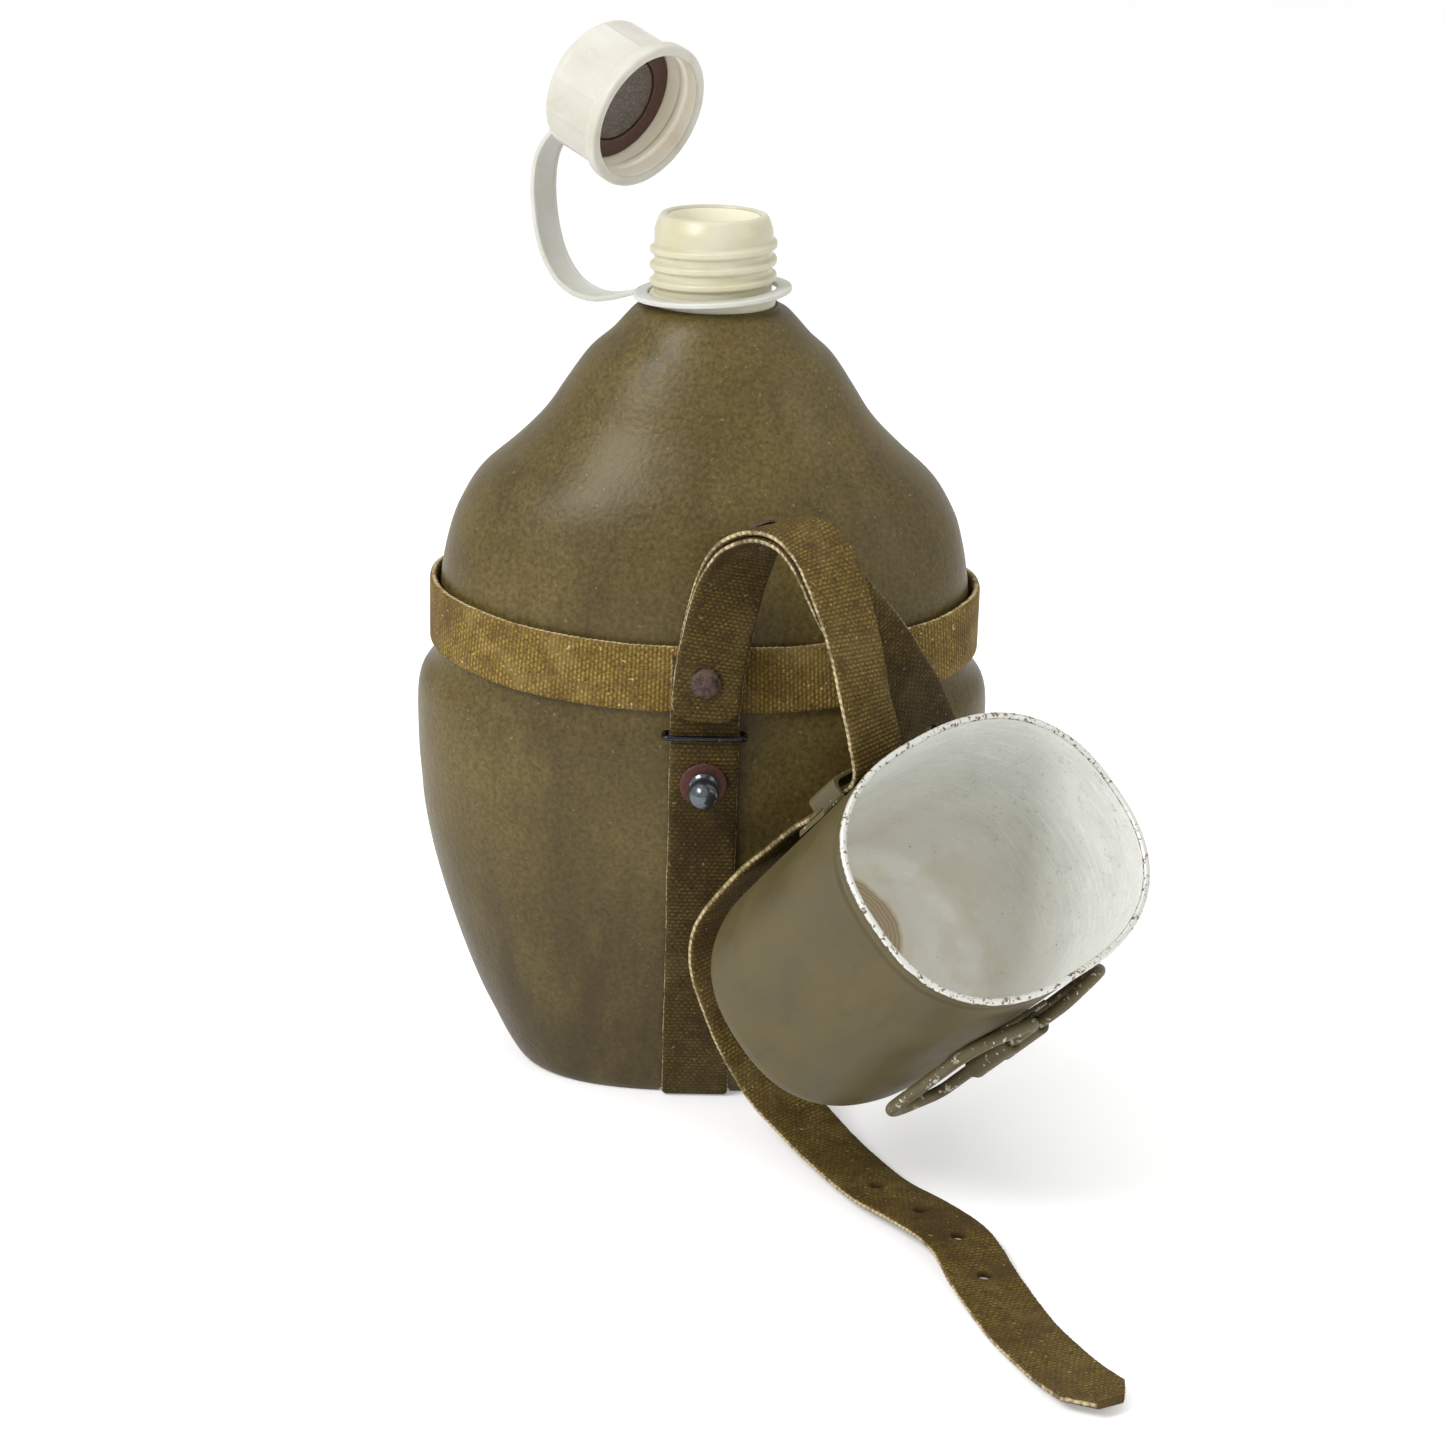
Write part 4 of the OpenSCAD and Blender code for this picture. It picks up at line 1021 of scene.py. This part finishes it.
RING_Z = 210
RING_HOLE_R = 16.7
RING_R = 20.4
RING_TILT = 4
TETHER_AZ = math.radians(145)
TETHER_W = 10
TETHER_T = 1.4
BAND_ROUTE = [
    (18, 208.8), (24, 206.6), (29, 205), (35, 203.9), (41, 204.6), (46.5, 207.6), (51, 213.6),
    (53.7, 222), (54.6, 231.4), (53.4, 239), (50, 244.6), (45.8, 248.2), (42.2, 251.8), (39.9, 256.4),
]
OUTWARD = np.array([math.cos(TETHER_AZ), math.sin(TETHER_AZ), 0])
SIDEWAYS = np.array([-math.sin(TETHER_AZ), math.cos(TETHER_AZ), 0])
CAP_AXIS = unit([0.69, -0.65, -0.32])
CROWN = np.array([-31.4, 20.6, 259.4])
CAP_H = 21
CAP_R = 17.9
FLANGE_R = 19.4
CAP_BORE_R = 16.6
CAP_SEAT = 8.5
PANELS = 12


def make_tether():
    tilt = move(0, 0, RING_Z) @ turn(-RING_TILT, "Y")
    h = TETHER_T / 2
    ring = lathe("tether_ring", washer_section(RING_HOLE_R, RING_R, -h, h, 0.45, 0), MILKY, sides=144,
                 place=tilt, close_along=True)
    put(ring, "ring", "tether_plastic", "tether_ring")
    route = np.array([OUTWARD * d + np.array([0, 0, z]) for d, z in smooth(BAND_ROUTE, 10)])
    p, at = resample(route, 1.0)
    n = unit(np.cross(tangents(p), SIDEWAYS))
    w = TETHER_W / 2
    outline = fillet([(-w, 0), (-w, h), (-w + 1.1, h), (-w + 1.5, h - 0.25), (w - 1.5, h - 0.25),
                      (w - 1.1, h), (w, h), (w, -h), (-w, -h), (-w, -0.01)], 0.3, 2)
    rings = []
    for i in range(len(p)):
        flare = 1 + 0.55 * math.exp(-at[i] / 4.0)
        rings.append(p[i] + np.outer(outline[:, 0] * flare, SIDEWAYS) + np.outer(outline[:, 1], n[i]))
    band = ring_solid("tether_band", rings, MILKY, sharp=45)
    start, end = OUTWARD * 24 + np.array([0, 0, 206]), OUTWARD * 36 + np.array([0, 0, 206])
    put_across(band, "ring", "tether", start, end, "tether_plastic", "tether_band")
    tab = lathe("tether_tab", washer_section(2.5, 5.6, 0.25, 1.65, 0.4), MILKY, sides=72,
                place=along(CROWN, -CAP_AXIS), close_along=True)
    put(tab, "tether", "tether_plastic")


def cap_radius(r, z, angles):
    """Low ridges between shallow panels on the cap's side."""
    if r < CAP_R - 0.9 or not 1.4 < z < CAP_H - 3.7:
        return np.full_like(angles, r)
    ends = min(1, (z - 1.4) / 1.5, (CAP_H - 3.7 - z) / 0.6)
    around = (angles / (2 * math.pi) * PANELS) % 1 - 0.5
    away = np.abs(around) * 2 * math.pi * r / PANELS
    ridge = np.exp(-((away / 0.75) ** 2))
    return r + ends * (0.42 * ridge - 0.22)


def make_cap():
    outside = [(2.3, -1.9), (2.3, 0.0), (CAP_R - 2.2, 0)]
    outside += [(CAP_R - 0.9, 0.35), (CAP_R - 0.15, 1.3)]
    outside += [(CAP_R, z) for z in np.arange(2.2, CAP_H - 4, 1.1)]
    outside += [(CAP_R, CAP_H - 4), (CAP_R + 0.1, CAP_H - 3.6), (FLANGE_R, CAP_H - 3.3),
                (FLANGE_R, CAP_H - 0.5), (FLANGE_R - 0.5, CAP_H), (CAP_BORE_R + 0.5, CAP_H),
                (CAP_BORE_R, CAP_H - 0.6)]
    profile = list(fillet(outside, 0.35, 3))
    wall = [(CAP_BORE_R, z) for z in np.arange(CAP_H - 1, CAP_SEAT + 0.3, -0.28)]

    def radius(r, z, angles):
        if abs(r - CAP_BORE_R) < 0.01 and z < CAP_H - 0.9:
            return r - 0.5 * thread_height(angles, z, 15, THREAD_PITCH, 0.7, 0.5)
        return cap_radius(r, z, angles)

    floor = [(CAP_BORE_R, CAP_SEAT), (8, CAP_SEAT)]
    place = along(CROWN, CAP_AXIS)
    body = lathe("cap", profile + wall + floor, [CAP, CAP_INSIDE], sides=240, radius=radius, place=place,
                 sharp=40, inner_from=len(profile) - 1)
    put(body, "cap", "cap_plastic", "cap")
    button = fillet([(0.5, -3.2), (2.6, -3.15), (3.5, -2.7), (3.6, -2.0), (2.3, -1.9), (2.2, -0.2)], 0.4)
    knob = lathe("cap_knob", button, CAP, sides=64, place=place)
    put(knob, "cap", "cap_plastic")
    seat = CAP_SEAT + 0.03
    gasket = lathe("cap_gasket", washer_section(11.5, 16.3, seat, seat + 1.8, 0.6), GASKET, sides=120,
                   place=place, close_along=True)
    put(gasket, "cap", "gasket_rubber", "cap_gasket")
    disc = fillet([(1, seat), (11.3, seat), (11.3, seat + 1.1), (10.9, seat + 1.3), (1, seat + 1.3)], 0.2)
    liner = lathe("cap_liner", disc, LINER, sides=96, place=place)
    put(liner, "cap", "liner", "cap_liner")


# ---------- cup ----------

CUP_A = 44
CUP_B = 33.5
CUP_EXP = 2.45
CUP_OUTSIDE = [(0, 8), (0.7, 5), (2.2, 2.9), (4.8, 1.8), (10, 1.4), (40, 0.6), (68.4, 0.02)]
CUP_INSIDE = [(72.6, 1.2), (40, 1.8), (12, 2.6), (6.2, 2.9), (3.8, 3.9), (2.1, 6), (1.2, 9)]


def cup_ring(z, inset):
    return oval(z, CUP_A - inset, CUP_B - inset, CUP_EXP)


def wall_inset(z):
    return float(np.interp(z, *zip(*CUP_OUTSIDE)))


def wall_y(x, z):
    d = wall_inset(z)
    return (CUP_B - d) * (1 - (abs(x) / (CUP_A - d)) ** CUP_EXP) ** (1 / CUP_EXP)


def on_wall(x, z, s):
    """A matrix in the cup's frame with +Z along the wall's outward normal."""
    slope = (wall_y(x + 0.1, z) - wall_y(x - 0.1, z)) / 0.2
    return move(x, s * wall_y(x, z), z) @ turn(s * math.degrees(math.atan(slope)), "Z") @ turn(-s * 90, "X")


def make_cup():
    floor = [(0.9, 40), (0.9, 24), (0.9, 14), (0.5, 10.5)]
    outside = [cup_ring(z, i) for z, i in floor + [tuple(r) for r in smooth(CUP_OUTSIDE, 5)]]
    roll = [(73.1 + 0.9 * math.sin(a), 0.3 - 0.85 * math.cos(a))
            for a in np.radians(np.linspace(-70, 180, 18))]
    bead = [(69.0, 0.02), (69.3, 0.32), (69.8, 0.36), (70.2, 0.02), (71.6, 0.0)]
    outside += [cup_ring(z, i) for z, i in bead + roll]
    inside = [cup_ring(z, i) for z, i in smooth(CUP_INSIDE, 5)]
    inside += [cup_ring(1.2, i) for i in (14, 22, 30)]
    rings = np.array(outside + inside)
    for ring in rings:
        for k, p in enumerate(ring):
            ring[k, :2] *= 1 + 0.0022 * wobble(p, 20, 3.0)
    cup = ring_solid("cup", rings, [PAINT, CUP_METAL], inner_from=len(outside) - 1, sharp=50, place=CUP_PLACE)
    return put(cup, "cup", "cup_metal", "cup")


BRIDGE_W = 12
BRIDGE_T = 1.2
BRIDGE_HALF = STRAP_W / 2 + 1
BRIDGE_RISE = 4.4
BRIDGE_FOOT = 8.4
FOOT_X = BRIDGE_HALF + BRIDGE_T + BRIDGE_FOOT * 0.55


def foot_line(t, s):
    out = []
    for k in range(4):
        x = BRIDGE_HALF + BRIDGE_T * (1 - t) + k * BRIDGE_FOOT / 3
        out.append((s * x, wall_y(x, BRIDGE_Z + BRIDGE_W / 2) + 0.15 + t * BRIDGE_T))
    return out


def prism(name, outline, z0, z1, place):
    """A fitting of the cup: an outline in X and Y, run from z0 to z1."""
    n = len(outline)
    points = [(x, y, z0) for x, y in outline] + [(x, y, z1) for x, y in outline]
    faces = [tuple(range(n))[::-1], tuple(range(n, 2 * n))]
    faces += [(k, (k + 1) % n, n + (k + 1) % n, n + k) for k in range(n)]
    return mesh_object(name, points, faces, FITTING_PAINT, place=place)


def make_bridge():
    top = wall_y(0, BRIDGE_Z) + BRIDGE_RISE
    low_l, low_r, up_l, up_r = foot_line(0, -1), foot_line(0, 1), foot_line(1, -1), foot_line(1, 1)
    h, t = BRIDGE_HALF, BRIDGE_T
    under = [(-h, low_l[0][1]), (-h, top), (h, top), (h, low_r[0][1])]
    over = [(h + t, up_r[0][1]), (h + t, top + t), (-h - t, top + t), (-h - t, up_l[0][1])]
    under = [tuple(p) for p in fillet(under, 2.4, 6)]
    over = [tuple(p) for p in fillet(over, 3.4, 6)]
    outline = low_l[3:0:-1] + under + low_r[1:] + up_r[3:0:-1] + over + up_l[1:]
    bridge = prism("cup_bridge", outline, BRIDGE_Z - BRIDGE_W / 2, BRIDGE_Z + BRIDGE_W / 2, CUP_PLACE)
    put(bevelled(bridge, 0.3), "cup", "cup_metal", "cup_bridge")
    for s in (-1, 1):
        place = CUP_PLACE @ on_wall(s * FOOT_X, BRIDGE_Z, 1) @ move(0, 0, 1.45)
        head = rivet("bridge_rivet_" + "lr"[s > 0], place, 2.3, 1.05, 2.4, 1, 6.0 + s, FITTING_PAINT)
        put(head, "cup", "cup_metal", "bridge_rivets")


PLATE_Z = 37
PLATE_H = 17
PLATE_HALF_W = 14
PLATE_T = 1.2
HINGE_X = 5.2
HINGE_Y = -(CUP_B + 3.6)
BARREL_R = 2.9
WIRE_R = 1.6
PLATE_Y = -wall_y(0, PLATE_Z) - 0.2
PLATE_RIVET_X = 11


def make_handle_plate():
    w, low, high = PLATE_HALF_W, PLATE_Z - PLATE_H / 2, PLATE_Z + PLATE_H / 2
    outline = [(-w, PLATE_Z - 5), (-w + 3, low), (w - 3, low), (w, PLATE_Z - 5),
               (w, PLATE_Z + 5), (w - 3, high), (-w + 3, high), (-w, PLATE_Z + 5)]
    plate = prism("handle_plate", outline, 0, PLATE_T, CUP_PLACE @ move(0, PLATE_Y, 0) @ turn(90, "X"))
    put(bevelled(plate, 0.35), "cup", "cup_metal", "handle_plate")
    for s in (-1, 1):
        end = "lr"[s > 0]
        sleeve = washer_section(WIRE_R + 0.1, BARREL_R, 0, PLATE_H, 0.4)
        barrel = lathe("handle_barrel_" + end, sleeve, FITTING_PAINT, sides=56,
                       place=CUP_PLACE @ move(s * HINGE_X, HINGE_Y, low), close_along=True)
        put(barrel, "cup", "cup_metal")
        web = [(-1.3, HINGE_Y + 2.3), (1.3, HINGE_Y + 2.3), (1.6, PLATE_Y - 0.6), (-1.6, PLATE_Y - 0.6)]
        web = [(x + s * HINGE_X, y) for x, y in web]
        web = prism("handle_web_" + end, web, low + 0.4, high - 0.4, CUP_PLACE)
        put(bevelled(web, 0.25), "cup", "cup_metal")
        place = CUP_PLACE @ on_wall(s * PLATE_RIVET_X, PLATE_Z, -1) @ move(0, 0, 1.9)
        head = rivet("plate_rivet_" + end, place, 2.3, 1.1, 2.8, 1, 9.0 + s, FITTING_PAINT)
        put(head, "cup", "cup_metal", "plate_rivets")


WING_REACH = 20.5
WING_HALF_H = 22.5
WING_Z = 34.5
WING_TUCK = 8       # turn of a folded wing in towards the wall
WING_BEND = 9
NEAR_BEND = 3.4


def arc(centre, radius, first, last, steps=10):
    return [(centre[0] + radius * math.cos(a), 0, centre[1] + radius * math.sin(a))
            for a in np.radians(np.linspace(first, last, steps))]


def make_wings():
    """Closed wire loops whose straight inner side is the hinge."""
    far, high, near = WING_REACH - WING_BEND, WING_HALF_H - WING_BEND, WING_HALF_H - NEAR_BEND
    path = arc((far, high), WING_BEND, 0, 90) + arc((NEAR_BEND, near), NEAR_BEND, 90, 180)
    path += arc((NEAR_BEND, -near), NEAR_BEND, 180, 270) + arc((far, -high), WING_BEND, 270, 360)
    for s, side in ((-1, "left"), (1, "right")):
        loop = [(s * x, y, z) for x, y, z in path]
        place = CUP_PLACE @ move(s * HINGE_X, HINGE_Y, WING_Z)
        place = place @ turn(s * WING_TUCK, "Z")
        closed = loop + loop[:1]
        even = resample(np.array(closed), 0.8)[0][:-1]
        wing = wire_loop("handle_" + side, even, WIRE_R, WIRE_PAINT, place)
        put(wing, "wing_" + side, "handle_wire", "handle_" + side)


make_cover()
make_bottle()
make_waist_band()
make_vertical_strap()
make_cup_strap()
make_belt_strap()
make_rivets()
make_studs()
make_keepers()
make_tether()
make_cap()
make_cup()
make_bridge()
make_handle_plate()
make_wings()

# ---------- floor, light and camera ----------


def floor_material():
    s = Shader("floor_pale")
    p = s.place()
    tone = s.noise(p, 0.25, 2, 0.5)
    base = s.tones(tone, (0.90, 0.90, 0.90), (0.92, 0.92, 0.92))
    return s.finish(base, 0.9, Specular_IOR_Level=0.05, Emission_Color=(1, 1, 1, 1), Emission_Strength=0.25)


def make_floor():
    reach = 6000
    points = [(-reach, -reach, 0), (reach, -reach, 0), (reach, reach, 0), (-reach, reach, 0)]
    floor = mesh_object("floor", points, [(0, 1, 2, 3)], floor_material())


LIT = Vector((0.01, -0.02, 0.12))    # what the lights are turned to


def softbox(name, at, size, power_w):
    light = bpy.data.lights.new(name, "AREA")
    light.shape = "RECTANGLE"
    light.size, light.size_y = size
    light.energy = power_w
    obj = bpy.data.objects.new(name, light)
    bpy.context.scene.collection.objects.link(obj)
    obj.location = at
    obj.rotation_euler = (LIT - Vector(at)).to_track_quat("-Z", "Y").to_euler()


def make_light():
    world = bpy.data.worlds.new("studio")
    bpy.context.scene.world = world
    world.use_nodes = True
    background = world.node_tree.nodes["Background"].inputs
    background["Color"].default_value = (1, 1, 1, 1)
    background["Strength"].default_value = 0.80
    softbox("key", (-0.60, -0.60, 0.85), (0.4, 0.4), 8.5)
    softbox("fill", (0.85, -0.45, 0.55), (0.5, 0.8), 1.5)
    softbox("top", (0.0, 0.15, 1.1), (0.7, 0.7), 2)


# Camera: where it stands and what it looks at in metres, its lens in mm and its roll in degrees
CAMERA_AT = Vector((-0.013755, -0.833664, 0.374321))
CAMERA_AIM = Vector((0.0056, 0, 0.0932))
CAMERA_LENS = 81.86
CAMERA_ROLL = 1.58


def make_camera():
    camera = bpy.data.cameras.new("camera")
    camera.sensor_width = 36
    camera.lens = CAMERA_LENS
    obj = bpy.data.objects.new("camera", camera)
    bpy.context.scene.collection.objects.link(obj)
    look = (CAMERA_AIM - CAMERA_AT).to_track_quat("-Z", "Y")
    obj.rotation_mode = "QUATERNION"
    obj.location = CAMERA_AT
    obj.rotation_quaternion = look @ Matrix.Rotation(math.radians(CAMERA_ROLL), 3, "Z").to_quaternion()
    bpy.context.scene.camera = obj


make_floor()
make_light()
make_camera()
bpy.context.scene.view_settings.view_transform = "Standard"
